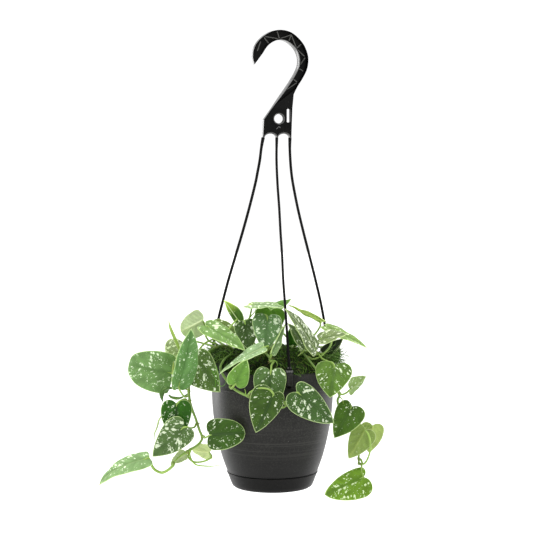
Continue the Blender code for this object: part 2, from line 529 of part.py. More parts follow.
def make_saucer(mat):
    profile = [(0, 0), (44.0, 0), (47.4, 0.5), (50.0, 2.4), (51.6, 6), (54.6, 14), (56.3, 18.4), (56.4, SAUCER_TOP_Z),
               (54.6, SAUCER_TOP_Z), (54.4, 18.2), (52.9, 14), (50.0, 6.4), (48.0, 3.4), (45.6, 2.2), (0, 2.2)]
    verts, faces = lathe(profile, 40)
    return add_mesh("saucer", verts, faces, mat)


def make_fill(soil_mat, moss_mat):
    gap = 0.4
    wall = [(outer_wall(z) - 0.2 - WALL - gap - 0.25, z) for z in (28, 37, 52, 68, 83, 98)]
    profile = [(0, POT_FLOOR_Z + 2.4), (outer_wall(22) - WALL - 2.2, POT_FLOOR_Z + 2.4)] + wall
    profile += [(outer_wall(125) - WALL - gap - 0.2, RIM_BAND_Z - 1.4), (RIM_R - 3.7, RIM_BAND_Z + 2.4), (RIM_R - 3.7, SOIL_TOP_Z), (0, SOIL_TOP_Z)]
    verts, faces = lathe(profile, 24)
    soil = add_mesh("potting_soil", verts, faces, soil_mat)
    profile = [(0, MOSS_UNDER_Z), (RIM_R - 3.8, MOSS_UNDER_Z), (RIM_R - 3.8, MOSS_EDGE_Z)]
    for r in (66, 54, 40, 24):
        profile.append((r, moss_height(r)))
    profile.append((0, moss_height(0)))
    verts, faces = lathe(profile, 24)
    moss = add_mesh("moss_cover", verts, faces, moss_mat)
    return soil, moss


def moss_height(r):
    return MOSS_TOP_Z - (MOSS_TOP_Z - MOSS_EDGE_Z) * (min(r, 72.4) / 72.4) ** 3.4


# ---------------------------------------------------------------- hanger
SEAT_U, SEAT_V = 278.4, 40.1  # the hook's seat on the elevation
PLATE_SCALE = 1.228


def on_plate(u, v):
    """(along the plate, height above the seat) of a point drawn on the elevation."""
    return (u - SEAT_U) * PLATE_SCALE / math.cos(math.radians(PLATE_YAW)), (SEAT_V - v) * PLATE_SCALE


def plate_frame():
    a = math.radians(PLATE_YAW)
    right = np.array([math.cos(a), math.sin(a), 0])
    normal = np.array([math.sin(a), -math.cos(a), 0])
    return HOOK_SEAT, right, normal


HOOK_OUTER = [(253.8, 65.1), (252.3, 58), (253.2, 50), (257.9, 41.4), (266.8, 33.8), (275.7, 30.5), (284.6, 30.7), (292.8, 34.2),
              (301.6, 43), (306.2, 53), (307, 61), (305.4, 69.5), (301.2, 78), (296, 86.4), (292.2, 94)]
HOOK_INNER = [(253.8, 65.1), (257.2, 60.3), (261.4, 54.3), (265.9, 47.2), (271.4, 42.4), (278.4, 40.1), (286.4, 41.6), (293.6, 47.4),
              (297.6, 55), (298.4, 62.9), (296, 70.4), (290.4, 80.4), (283, 91.4), (274, 104), (263.2, 119.4)]


# stiffening ribs on both faces, drawn on the front face
HOOK_RIBS = [((263.7, 37.0), (278.8, 39.2)), ((263.7, 37.4), (268.6, 43.7)), ((277.1, 31.6), (279.3, 38.8)), ((279.3, 39.2), (291.3, 34.7)),
             ((291.3, 34.7), (288.7, 41.4)), ((291.3, 34.7), (296.7, 48.1)), ((296.7, 48.1), (301.2, 43.7)), ((296.7, 48.6), (304.7, 55.7)),
             ((305.4, 57.1), (299.4, 65.5)), ((299.4, 68.2), (303.4, 70.4)), ((292.7, 78.0), (297.1, 81.6)), ((296.7, 82.5), (285.5, 90.1)),
             ((261.0, 42.3), (256.4, 56.4))]
# the two low arches between the strands, from right to left: ends, and rise in drawing units
ARCHES = [(277.3, 289.1, 4.2), (263.8, 275.9, 4.2)]
PLATE_FOOT = (262.2, 290.7, 137.5)
HALF_THIN = 1.9  # half the plate's thickness at its thin ends


def on_face(u, v, depth):
    """The same as on_plate, for a point drawn on the face at a depth in front of the middle."""
    a = math.radians(PLATE_YAW)
    return ((u - SEAT_U) * PLATE_SCALE - math.sin(a) * depth) / math.cos(a), (SEAT_V - v) * PLATE_SCALE


def wedges(frame):
    """Solids that thin the plate from both faces: towards its foot, and towards the hook's tip."""
    origin, right, normal = frame
    up = np.array([0, 0, 1.0])
    half = PLATE_DEPTH / 2
    high, low = on_plate(0, 90)[1], on_plate(0, 108)[1]
    made = []
    for face in (1, -1):
        foot = [(high, half + 0.4), (low, HALF_THIN), (low - 60, HALF_THIN), (low - 60, 14), (high, 14)]
        tip = [(9.0, half + 0.4), (-36.0, HALF_THIN - 0.2), (-48.0, HALF_THIN - 0.2), (-48.0, 14), (9.0, 14)]
        for shape, along, across, reach in ((foot, up, right, 60), (tip, right, up, 0)):
            n = len(shape)
            ends = ((-reach, reach) if reach else (on_plate(0, 100)[1], 40))
            verts = [origin + along * a + normal * d * face + across * e for e in ends for a, d in shape]
            faces = [tuple(range(n)), tuple(range(2 * n - 1, n - 1, -1))] + [(k, (k + 1) % n, (k + 1) % n + n, k + n) for k in range(n)]
            made.append((np.array(verts), faces))
    return made


def make_hook(mat):
    frame = plate_frame()
    outer = through([on_plate(*p) for p in HOOK_OUTER], 2)
    inner = through([on_plate(*p) for p in HOOK_INNER], 2)
    half = PLATE_DEPTH / 2
    low_right, low_left = on_plate(PLATE_FOOT[1], PLATE_FOOT[2]), on_plate(PLATE_FOOT[0], PLATE_FOOT[2])
    arches = []
    for left, right, rise in ARCHES:
        for k in range(9):
            t = math.pi * k / 8
            arches.append(on_plate((left + right) / 2 + (right - left) / 2 * math.cos(t), PLATE_FOOT[2] - rise * math.sin(t)))
    outline = [tuple(p) for p in outer] + [on_plate(291.4, 117)] + [tuple(low_right)] + arches + [tuple(low_left)] + [tuple(p) for p in inner[::-1][:-1]]
    verts, faces = prism(outline, -half, half, frame)
    hook = add_mesh("hanger_hook", verts, faces, mat)
    # pockets in both faces leave a rim along each edge of the hook and a thin web
    rim = 1.5
    a_side, b_side = [], []
    for p, q in zip(outer[4:27], inner[4:27]):
        d = unit(q - p)
        a_side.append(p + d * rim)
        b_side.append(q - d * rim)
    pocket = [tuple(p) for p in a_side] + [tuple(p) for p in b_side[::-1]]
    for name, low, high in (("front", WEB_DEPTH / 2, half + 2), ("back", -half - 2, -WEB_DEPTH / 2)):
        cutter = add_mesh("cut_pocket_" + name, *prism(pocket, low, high, frame), mat, hidden=True)
        boolean(hook, cutter, "DIFFERENCE")
    for k, (start, end) in enumerate(HOOK_RIBS):
        start, end = np.array(on_face(*start, half - 0.9)), np.array(on_face(*end, half - 0.9))
        d = unit(end - start)
        n = np.array([-d[1], d[0]])
        strip = [tuple(start - n * 0.55), tuple(end - n * 0.55), tuple(end + n * 0.55), tuple(start + n * 0.55)]
        top = half - 0.8 - 0.05 * k  # a step between ribs that cross
        rib = add_mesh(f"cut_rib_{k}", *prism(strip, -top, top, frame), mat, hidden=True)
        boolean(hook, rib, "UNION")
    for k, wedge in enumerate(wedges(frame)):
        boolean(hook, add_mesh(f"cut_wedge_{k}", *wedge, mat, hidden=True), "DIFFERENCE")
    # oval hole and slot through the lower plate
    a, z = on_plate(278.3, 118.4)
    oval = [(a + 6.7 * math.cos(t), z + 5.8 * math.sin(t)) for t in np.linspace(0, 2 * math.pi, 25)[:-1]]
    cutter = add_mesh("cut_hole", *prism(oval, -10, 10, frame), mat, hidden=True)
    boolean(hook, cutter, "DIFFERENCE")
    a, z = on_plate(287.9, 115.3)
    slot = [(a - 2.5, z - 8.3), (a + 2.5, z - 8.3), (a + 2.5, z + 8.3), (a - 2.5, z + 8.3)]
    cutter = add_mesh("cut_slot", *prism(slot, -10, 10, frame), mat, hidden=True)
    boolean(hook, cutter, "DIFFERENCE")
    return hook


STRANDS = {
    "front": (276.6, [(138.1, 276.6), (160, 276.5), (184, 277.5), (208, 279.2), (232, 280.5), (256, 282.1), (280, 283.2), (307, 285.2), (334.6, 287.1), (353.8, 288.2)]),
    "left": (262.9, [(138.1, 262.6), (148, 261.3), (160, 259.8), (172, 257.6), (184, 255.2), (208, 249.2), (232, 242.6), (256, 235.5), (280, 228.4), (299.6, 223.2), (314.6, 219.4), (332, 215.6), (350, 212.4)]),
    "right": (289.9, [(138.1, 289.7), (148, 289.8), (160, 290.3), (172, 291.3), (184, 293), (208, 297.7), (232, 303.4), (256, 309.5), (280, 315.5), (304, 321), (328, 325.3), (345, 327.6)]),
}


def strand_path(name):
    """Points of a strand, from under the plate down to its foot."""
    start_u, drawn = STRANDS[name]
    origin, right, _ = plate_frame()
    a, z = on_plate(start_u, PLATE_FOOT[2])
    top = origin + right * a + np.array([0, 0, z - 0.35])
    azimuth = SOCKETS[name]
    foot = ring(azimuth, SOCKET_R, SOCKET_Z[1] + 4.0)
    points = [top]
    # sideways places come from the elevation; depth goes evenly from the plate to the foot
    head = top[2]
    for v, u in drawn[1:]:
        y = foot[1] * 0.5
        for _ in range(6):
            p = at(u, v, y)
            t = (head - p[2]) / (head - foot[2])
            ease = t + 0.10 * math.sin(2 * math.pi * t) * -1.0
            y = top[1] + (foot[1] - top[1]) * min(max(ease, 0), 1)
        points.append(at(u, v, y))
    points.append(foot)
    return points, azimuth


def make_strand(name, mat):
    points, azimuth = strand_path(name)
    path = smooth(points, 18)
    out = ring(azimuth, 1, 0)
    verts, faces = sweep(path, 1.0, 8, flat=(1.8, 1.3, out))
    strand = add_mesh("hanger_strand_" + name, verts, faces, mat)
    foot = points[-1]
    # T-shaped stop that sits on the socket, and the peg with its barb below
    stop = add_mesh("cut_stop_" + name, *box(foot + np.array([0, 0, -0.9]), (7.8, 4.6, 5.4), azimuth), mat, hidden=True)
    boolean(strand, stop, "UNION")
    peg_low, peg_high = SOCKET_Z[0] - 3.4, foot[2]
    peg = add_mesh("cut_peg_" + name, *box(ring(azimuth, SOCKET_R, (peg_low + peg_high) / 2), (PEG, PEG, peg_high - peg_low), azimuth), mat, hidden=True)
    boolean(strand, peg, "UNION")
    barb = add_mesh("cut_barb_" + name, *box(ring(azimuth, SOCKET_R, SOCKET_Z[0] - 1.9), (5.4, 2.2, 2.6), azimuth), mat, hidden=True)
    boolean(strand, barb, "UNION")
    return strand


# ----------------------------------------------------------------- plant
def vine_path(name, count=None):
    radius, points = VINES[name]
    placed = [place(p) for p in points]
    return smooth(placed, count or int(1.5 * len(points)) + 2), radius


def stalk_path(spec, base, along, up):
    """The petiole's points: from just off its vine to just inside the blade."""
    line, radius = vine_path(spec["vine"], 120)
    points = [place(p) for p in spec["stalk"]]
    k = int(np.argmin(np.linalg.norm(line - points[0], axis=1)))
    tangent = unit(line[min(k + 1, len(line) - 1)] - line[max(k - 1, 0)])
    onward = points[1] if len(points) > 1 else base
    away = onward - line[k]
    away = unit(away - tangent * np.dot(away, tangent))
    points[0] = line[k] + away * (radius + 0.65)
    end = base + along * 2.2 - up * 0.15
    return [points[0], points[0] + away * 2.0] + points[1:] + [base - up * 0.3, end]


def make_leaf(name, spec, mat):
    points, faces, (base, x, y, z, length) = leaf_points(spec, 7, 2)
    verts, solid = thicken(points, faces, BLADE)
    leaf = add_mesh(name, verts, solid, mat)
    path = smooth(stalk_path(spec, base, y, z), 3 + int(1.5 * len(spec["stalk"])))
    radii = np.interp(np.linspace(0, 1, len(path)), [0, 0.2, 1], [1.25, 0.95, 0.75])
    stalk = add_mesh("cut_stalk_" + name, *sweep(path, radii, 5), mat, hidden=True)
    boolean(leaf, stalk, "UNION")
    return leaf


def make_spear(name, mat):
    vine, drawn, radii = SPEARS[name]
    line, radius = vine_path(vine, 120)
    points = [place(p) for p in drawn]
    k = int(np.argmin(np.linalg.norm(line - points[0], axis=1)))
    tangent = unit(line[min(k + 1, len(line) - 1)] - line[max(k - 1, 0)])
    away = points[1] - line[k]
    away = unit(away - tangent * np.dot(away, tangent))
    points[0] = line[k] + away * (radius + 0.65)
    path = smooth([points[0], points[0] + away * 2.0] + points[1:], 14)
    run = np.concatenate([[0], np.cumsum(np.linalg.norm(np.diff([points[0]] + points[1:], axis=0), axis=1))])
    size = np.interp(np.linspace(0, run[-1], len(path)), run, radii)
    return add_mesh(name, *sweep(path, size, 7), mat)


def make_vine(name, mat):
    path, radius = vine_path(name, 240)
    # the solid starts where the stem leaves the moss
    clear = [p[2] - moss_height(math.hypot(p[0], p[1])) > 0.6 * radius + 0.6 for p in path]
    buried = [k for k in range(len(path)) if not clear[k] and math.hypot(path[k][0], path[k][1]) < 72]
    path = smooth(path[(max(buried) + 1 if buried else 0)::6], int(1.5 * len(VINES[name][1])) + 1)
    taper = np.interp(np.linspace(0, 1, len(path)), [0, 0.7, 1], [1, 1, 0.75])
    return add_mesh(name, *sweep(path, radius * taper, 6), mat)


def main():
    for obj in list(bpy.data.objects):
        bpy.data.objects.remove(obj, do_unlink=True)
    plastic = material("charcoal_plastic", (0.030, 0.030, 0.029), 0.45)
    hanger = material("black_plastic", (0.012, 0.012, 0.012), 0.4)
    soil = material("potting_soil", (0.035, 0.022, 0.014), 0.95)
    moss = material("moss", (0.050, 0.090, 0.018), 0.95)
    blade = material("satin_leaf", (0.13, 0.26, 0.09), 0.42)
    stem = material("green_stem", (0.26, 0.40, 0.10), 0.5)
    make_pot(plastic)
    make_saucer(plastic)
    make_fill(soil, moss)
    make_hook(hanger)
    for name in STRANDS:
        make_strand(name, hanger)
    for name in VINES:
        make_vine(name, stem)
    for name, spec in LEAVES.items():
        make_leaf(name, spec, blade)
    for name in SPEARS:
        make_spear(name, blade)
    bpy.context.view_layer.update()


main()
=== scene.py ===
"""The looks of a satin pothos in its hanging pot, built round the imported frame."""
import json
import math

import bmesh
import bpy
import numpy as np
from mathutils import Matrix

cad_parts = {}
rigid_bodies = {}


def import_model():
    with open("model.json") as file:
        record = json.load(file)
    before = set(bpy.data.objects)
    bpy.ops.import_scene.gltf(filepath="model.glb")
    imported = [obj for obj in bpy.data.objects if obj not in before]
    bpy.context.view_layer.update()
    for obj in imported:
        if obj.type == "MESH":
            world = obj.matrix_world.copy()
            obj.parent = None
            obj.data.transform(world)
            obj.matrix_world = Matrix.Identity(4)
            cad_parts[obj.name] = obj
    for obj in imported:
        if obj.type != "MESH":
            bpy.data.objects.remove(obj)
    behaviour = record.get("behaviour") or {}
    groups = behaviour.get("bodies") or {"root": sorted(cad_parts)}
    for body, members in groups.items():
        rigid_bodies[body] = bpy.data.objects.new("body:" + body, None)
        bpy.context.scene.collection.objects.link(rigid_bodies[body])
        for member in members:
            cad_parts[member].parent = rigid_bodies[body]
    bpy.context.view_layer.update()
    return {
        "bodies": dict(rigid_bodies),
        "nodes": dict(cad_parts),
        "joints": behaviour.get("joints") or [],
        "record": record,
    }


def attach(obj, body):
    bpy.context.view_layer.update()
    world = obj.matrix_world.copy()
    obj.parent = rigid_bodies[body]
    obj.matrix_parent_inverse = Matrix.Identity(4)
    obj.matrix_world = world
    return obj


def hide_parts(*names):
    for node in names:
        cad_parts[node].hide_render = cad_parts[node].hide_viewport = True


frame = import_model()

MM = 0.001

# ------------------------------------------------------------ drawing tables
# The same tables and curves as the CAD source, in mm in the pot's own frame.
HOOK_SEAT = np.array([7.5, 0.0, 553.0])  # hook seat in the pot's frame
RIM_Z = 149.0
RIM_R = 76.2
RIM_BAND_Z = 127.0
WALL = 1.6
POT_FLOOR_Z = 20.0
SAUCER_TOP_Z = 19.3
MOSS_EDGE_Z = 147.0
MOSS_TOP_Z = 173.5
MOSS_UNDER_Z = 137.3
SOCKETS = {"front": 14.4, "left": -99.0, "right": 118.0}
SOCKET_R = 80.3
SOCKET_Z = (137.0, 152.6)
PEG = 2.9
PLATE_YAW = 26.0
PLATE_DEPTH = 9.0
WEB_DEPTH = 2.8
EYE = (-7.3, -1994.8, 419.3)
EYE_TILT = math.radians(4.15)
EYE_FOCUS = 1615.0
SHEET_MID = 266.5


def at(u, v, y):
    """The point, in mm, drawn at (u, v) on the elevation and y mm behind the pot's axis."""
    below = EYE_TILT + math.atan((v - SHEET_MID) / EYE_FOCUS)
    run = y - EYE[1]
    z = EYE[2] - run * math.tan(below)
    depth = run * math.cos(EYE_TILT) + (EYE[2] - z) * math.sin(EYE_TILT)
    x = EYE[0] + (u - SHEET_MID) / EYE_FOCUS * depth
    return np.array([x, y, z])


def ring(azimuth, radius, z):
    """The point at an azimuth round the pot, from the front and positive to the right."""
    a = math.radians(azimuth)
    return np.array([radius * math.sin(a), -radius * math.cos(a), z])


def place(p):
    """A drawn point (u, v, y), or a round-the-pot point ('r', azimuth, radius, z)."""
    return ring(*p[1:]) if p[0] == "r" else at(*p)

VINES = {
    "vine_left": (1.6, [
        (236, 356, -8), (230, 348, -12), (220, 346, -20), (207, 353, -34), (196, 367, -46), (189.6, 382, -50),
        (189.4, 398, -50), (191.7, 408, -49), (195.1, 417.1, -48), (197.4, 424, -48),
        (199.7, 430.9, -48), (202, 436.7, -49), (200.9, 441.3, -52), (196.3, 445.9, -55),
        (189.4, 449.9, -58), (182.5, 454.5, -60), (176, 459.8, -61), (172, 464.5, -61)]),
    "vine_front": (1.5, [
        (236, 360, -24), (231, 355, -32), (224, 360, -42), (220.5, 367.5, -51), (222.5, 374, -56),
        (231.8, 386.8, -68), (240, 392.5, -77), (249, 396.7, -85), (262, 402, -90.5),
        (275, 406.5, -92), (283.4, 407.2, -92), (287.3, 403.5, -92)]),
    "vine_right": (1.5, [
        (298, 358, -16), (300, 351, -24), (306, 356.5, -38), (312, 364, -49), (318, 371, -56), (326, 379, -59),
        (334, 387, -57), (339.3, 394.6, -53), (337.6, 400.5, -49), (339.6, 407.6, -42),
        (345, 417, -36), (352, 425.5, -32), (357.5, 432, -31), (360, 440, -31),
        (360.2, 448.9, -31), (358.7, 457, -31), (359, 464, -31)]),
    "vine_crown_left": (1.5, [
        (243, 358, -2), (243, 347, -4), (240, 336, -6), (240, 327, -6), (246, 320, -8)]),
    "vine_crown_mid": (1.6, [
        (262, 355, -22), (262.4, 350.2, -29), (264.4, 352.2, -40), (267.2, 354.8, -52),
        (269.3, 357.4, -63), (270.6, 361.6, -71)]),
    "vine_crown_right": (1.5, [
        (290, 356, -4), (294, 347, -8), (302, 343, -14), (310, 345, -24), (314, 351, -34), (316.6, 354.6, -41)]),
    "vine_back": (1.6, [
        ("r", 170, 34, 168), ("r", 168, 50, 172), ("r", 166, 68, 166), ("r", 165, 82, 152), ("r", 166, 87, 132),
        ("r", 170, 88, 110), ("r", 176, 86, 88), ("r", 182, 83, 68), ("r", 186, 80, 50)]),
}
LEAVES = {
    "leaf_a": dict(base=(171.2, 373.0, -38), tip=(128.6, 363.2, -30), wide=0.88, roll=-8, fold=8, curl=70, skew=-0.06, blunt=0.85, lobe=0.3,
                   vine="vine_left", stalk=[(196, 367, -46), (189, 371, -43), (182, 375.5, -40), (176, 376.4, -38)]),
    "leaf_b": dict(base=(178.6, 386.5, -74), tip=(191.2, 328.5, -68), wide=0.62, roll=42, fold=14, curl=16, twist=34, lobe=0.5,
                   vine="vine_left", stalk=[(189.4, 391, -50), (188.2, 395.6, -56), (184.5, 396.6, -66), (180.8, 392, -73)]),
    "leaf_c": dict(base=(183, 343.2, -30), tip=(179, 372, -24), wide=1.05, roll=0, fold=6, curl=14, skew=0.1,
                   vine="vine_left", stalk=[(215, 347.4, -25), (204, 343.5, -20), (193, 341.2, -23)]),
    "leaf_e": dict(base=(202.5, 320.6, -2), tip=(180.4, 331.0, -20), wide=0.98, roll=166, fold=12, curl=-34, skew=0.04, blunt=0.9,
                   vine="vine_left", stalk=[(224, 346, -17), (212, 337, -4), (206, 328, 2)]),
    "leaf_f": dict(base=(212, 326.5, -2), tip=(239, 333, -16), wide=0.72, roll=-36, fold=8, curl=20, skew=0.0,
                   vine="vine_crown_left", stalk=[(240, 335, -6), (226, 335, 6), (215, 331, 4)]),
    "leaf_g": dict(base=(207.0, 326.2, -46), tip=(245.2, 350.8, -68), wide=0.60, roll=-50, fold=8, curl=16, skew=0.0,
                   vine="vine_left", stalk=[(217, 347, -23), (209, 341, -28), (205, 333.5, -40)]),
    "leaf_h": dict(base=(196.6, 357.4, -48), tip=(220.2, 392.2, -66), wide=0.84, roll=8, fold=6, curl=22, skew=0.26,
                   vine="vine_left", stalk=[(228, 347.3, -14), (220, 338, -24), (206, 342.5, -34), (198.5, 351, -44)]),
    "leaf_i": dict(base=(263.6, 347.2, -66), tip=(218.8, 374.8, -76), wide=0.40, roll=66, fold=12, curl=18, twist=-26, lobe=0.3,
                   vine="vine_crown_mid", stalk=[(266, 353.0, -46), (268.4, 348.2, -50), (268.2, 346.2, -62)]),
    "leaf_j": dict(base=(235.8, 383.4, -84), tip=(247, 359, -91), wide=0.76, roll=8, fold=6, curl=14, skew=0.0,
                   vine="vine_front", stalk=[(232, 387, -68.5), (231.2, 388.6, -75), (232.5, 387.2, -82)]),
    "leaf_k": dict(base=(270.6, 372.6, -82), tip=(267.4, 416, -85), wide=0.75, roll=0, fold=4, curl=12, skew=0.0,
                   vine="vine_crown_mid", stalk=[(270.4, 360.8, -70.5), (271.6, 365, -77), (271.2, 368.6, -81)]),
    "leaf_m": dict(base=(273.6, 394.2, -103), tip=(255.7, 432.9, -105), wide=0.80, roll=-4, fold=-12, curl=22, skew=0.22,
                   vine="vine_front", stalk=[(249, 396.7, -85), (251.5, 391.4, -92), (260, 388.2, -98), (269, 389.4, -102)]),
    "leaf_n": dict(base=(297.6, 392.4, -98), tip=(334.2, 423.3, -84), wide=0.62, roll=-6, fold=4, curl=18, skew=0.14,
                   vine="vine_front", stalk=[(286.5, 404.3, -92), (288.5, 399, -94), (292.5, 394.6, -96.5)]),
    "leaf_o": dict(base=(334.3, 365.6, -60), tip=(330, 397.8, -78), wide=1.08, roll=6, fold=4, curl=14, skew=0.0,
                   vine="vine_crown_right", stalk=[(316.0, 353.5, -39), (322, 358.5, -44), (328, 361.6, -53), (332, 362.6, -58)]),
    "leaf_p": dict(base=(350.4, 388.8, -48), tip=(366.3, 376.4, -36), wide=1.06, roll=-125, fold=14, curl=-10, lobe=0.6,
                   vine="vine_right", stalk=[(337, 391.5, -55), (341.5, 394.5, -58), (346.5, 392.8, -53)]),
    "leaf_q": dict(base=(351.3, 407, -50), tip=(334.1, 438.2, -58), wide=0.84, roll=10, fold=6, curl=14, skew=-0.14,
                   vine="vine_right", stalk=[(341.5, 411.3, -39.5), (346, 407.5, -42), (350, 405, -47)]),
    "leaf_r": dict(base=(364.6, 430.4, -44), tip=(348.5, 458.9, -51), wide=0.78, roll=176, fold=10, curl=14, skew=0.1,
                   vine="vine_right", stalk=[(359.6, 459, -31), (363.2, 464.0, -37), (366.8, 460.5, -44), (370.2, 450.5, -50), (370, 440, -51), (367.6, 433, -48)]),
    "leaf_s": dict(base=(372.4, 426, -20), tip=(369, 453, -27), wide=0.92, roll=172, fold=8, curl=12, skew=0.0,
                   vine="vine_right", stalk=[(353.5, 427.4, -31.8), (360, 428.6, -25), (368, 426.6, -20)]),
    "leaf_t": dict(base=(363.3, 477, -36), tip=(324.4, 494.8, -48), wide=0.70, roll=8, fold=5, curl=22, skew=-0.24, blunt=0.35,
                   vine="vine_right", stalk=[(359.1, 464, -31), (361.4, 470.5, -33)]),
    "leaf_u": dict(base=(176.6, 404.4, -60), tip=(175.6, 442.5, -62), wide=0.82, roll=2, fold=10, curl=12, skew=0.0,
                   vine="vine_left", stalk=[(189.5, 400.5, -50), (185.5, 399, -55), (180.4, 400.8, -59)]),
    "leaf_v": dict(base=(183.4, 427.4, -71), tip=(152.3, 456.8, -76), wide=0.74, roll=-2, fold=5, curl=14, skew=0.0,
                   vine="vine_left", stalk=[(197.4, 424, -48), (194.6, 427, -55), (190.8, 428, -64), (187, 427, -70)]),
    "leaf_w": dict(base=(148.6, 458.2, -64), tip=(98.8, 486.0, -68), wide=0.40, roll=44, fold=4, curl=66, lobe=0.3,
                   vine="vine_left", stalk=[(172.4, 464.0, -60.8), (168, 470, -62), (161.5, 472.6, -62), (154.5, 469.4, -62.5), (150.8, 463.4, -64)]),
    "leaf_x": dict(base=(184.6, 454, -46), tip=(170.6, 463.6, -47), wide=0.74, roll=158, fold=8, curl=10,
                   vine="vine_left", stalk=[(190.5, 449.4, -57.6), (190, 452, -49)]),
    "leaf_y": dict(base=(209.4, 452.2, -56), tip=(190.8, 448.6, -40), wide=0.78, roll=146, fold=10, curl=-20,
                   vine="vine_left", stalk=[(187.2, 451.3, -58.6), (188.2, 457.0, -60), (193.6, 461.8, -62), (203.4, 461.4, -63), (211, 457.4, -61)]),
    "leaf_z": dict(base=(210.5, 435.0, -62), tip=(245.4, 433.0, -71), wide=0.82, roll=-4, fold=6, curl=70, skew=0.0, blunt=0.85,
                   vine="vine_left", stalk=[(202, 436.7, -49), (204.6, 437.8, -54), (208.6, 436, -58.5)]),
    # crown of the plant
    "leaf_b2": dict(base=(252, 304.8, -24), tip=(285, 308.2, -48), wide=0.56, roll=-68, fold=6, curl=18, lobe=1.8,
                    vine="vine_crown_left", stalk=[(244.5, 321.3, -7.6), (249.0, 319, -12), (251.3, 310, -19)]),
    "leaf_a2": dict(base=(237.4, 319.0, -34), tip=(223.8, 300.2, -36), wide=0.56, roll=-20, fold=12, curl=-10, skew=0.3, lobe=1.6,
                    vine="vine_left", stalk=[(231, 348.2, -11), (226, 340, -30), (227.5, 331.5, -39), (233, 323.6, -37)]),
    "leaf_c2": dict(base=(264, 308.4, 12), tip=(291.5, 298.6, 28), wide=0.80, roll=116, fold=10, curl=14,
                    vine="vine_crown_right", stalk=[(293.9, 347.8, -7.8), (284, 334, 6), (268, 318, 14)]),
    "leaf_d2": dict(base=(270.6, 310.6, -2), tip=(266, 342, -12), wide=0.96, roll=176, fold=6, curl=10,
                    vine="vine_crown_mid", stalk=[(263.6, 352.8, -36), (268.5, 349.5, -32), (276, 343, -20), (282, 329, -4), (275.4, 312, 1)]),
    "leaf_e2": dict(base=(267.4, 317.6, -26), tip=(265.4, 351.6, -42), wide=0.84, roll=-4, fold=6, curl=16,
                    vine="vine_crown_mid", stalk=[(262.3, 351.4, -27), (252, 339, -18), (256, 322, -16), (264.4, 314.8, -23)]),
    "leaf_f2": dict(base=(245, 323, -20), tip=(250, 351, -34), wide=0.80, roll=0, fold=8, curl=14,
                    vine="vine_crown_left", stalk=[(242.4, 323.5, -7), (243.5, 320, -14)]),
    "leaf_g2": dict(base=(271, 353.0, -71.5), tip=(285.3, 323.3, -58), wide=0.40, roll=50, fold=42, curl=-6, lobe=0.4,
                    vine="vine_crown_mid", stalk=[(270, 358, -68.5), (271.2, 356, -72)]),
    "leaf_h2": dict(base=(315.6, 349.6, -56), tip=(284.6, 308.5, -72), wide=0.46, roll=56, fold=6, curl=20, lobe=0.4,
                    vine="vine_right", stalk=[(302.5, 352.6, -29), (306, 351.0, -38), (311, 348.6, -48), (315, 350.8, -54)]),
    "leaf_i2": dict(base=(305.0, 345.6, -42), tip=(287.6, 323, -46), wide=0.56, roll=40, fold=6, curl=14, lobe=0.6,
                    vine="vine_crown_right", stalk=[(307.5, 343.6, -19), (306.6, 349, -30), (306.2, 349, -38)]),
    "leaf_j2": dict(base=(293, 343.6, -20), tip=(291, 326.2, -34), wide=0.60, roll=178, fold=6, curl=8,
                    vine="vine_crown_right", stalk=[(295, 348.2, -9.0), (294.6, 345.5, -15)]),
    "leaf_k2": dict(base=(319.8, 320.4, -16), tip=(287, 304.6, -34), wide=0.40, roll=108, fold=8, curl=10,
                    vine="vine_crown_right", stalk=[(299.5, 344.6, -12), (312, 337, -8), (319.8, 327, -11)]),
    "leaf_l2": dict(base=(319.6, 338.8, -33), tip=(346.8, 334.4, -40), wide=0.86, roll=-56, fold=4, curl=10, skew=-0.15,
                    vine="vine_crown_right", stalk=[(310.5, 345.8, -25.5), (315, 344.4, -27), (317.6, 342, -31)]),
    "leaf_m2": dict(base=(327.6, 327.4, 4), tip=(367.5, 348.4, -16), wide=0.46, roll=-64, fold=8, curl=12,
                    vine="vine_right", stalk=[(306.6, 357.4, -39.5), (313, 359.2, -37), (321, 356.0, -34), (329.7, 347.1, -26), (331.7, 340.4, -18), (330.6, 333, -8)]),
    "leaf_o2": dict(base=(331, 347, 6), tip=(337.6, 364, 16), wide=0.78, roll=6, fold=8, curl=18,
                    vine="vine_crown_right", stalk=[(305, 343.2, -17), (316, 347, 0), (327, 346.4, 8)]),
    "leaf_p2": dict(base=(324.4, 353.2, -18), tip=(343.4, 338.4, -14), wide=0.56, roll=168, fold=4, curl=10, lobe=0.6,
                    vine="vine_crown_right", stalk=[(313.6, 350.4, -33), (317.5, 352.4, -26), (321, 353.6, -20)]),
    # behind the pot
    "leaf_back_1": dict(base=("r", 156, 90, 146), tip=("r", 150, 98, 92), wide=0.78, roll=-8, out=True, fold=8, curl=18,
                        vine="vine_back", stalk=[("r", 165.2, 83.5, 149), ("r", 160, 89, 151)]),
    "leaf_back_2": dict(base=("r", 177, 95, 134), tip=("r", 198, 101, 88), wide=0.80, roll=8, out=True, fold=6, curl=20,
                        vine="vine_back", stalk=[("r", 166, 87, 133), ("r", 171, 94, 136)]),
    "leaf_back_3": dict(base=("r", 162, 98, 106), tip=("r", 150, 102, 54), wide=0.76, roll=0, out=True, fold=8, curl=14,
                        vine="vine_back", stalk=[("r", 169.5, 88, 112), ("r", 166, 96, 110)]),
    "leaf_back_4": dict(base=("r", 190, 92, 64), tip=("r", 204, 94, 14), wide=0.78, roll=6, out=True, fold=8, curl=16,
                        vine="vine_back", stalk=[("r", 182, 83, 68), ("r", 186, 91, 68)]),
    "leaf_back_5": dict(base=("r", 184, 84, 42), tip=("r", 168, 86, -6), wide=0.76, roll=-4, out=True, fold=8, curl=16,
                        vine="vine_back", stalk=[("r", 186, 80.2, 50.6), ("r", 186, 84, 48)]),
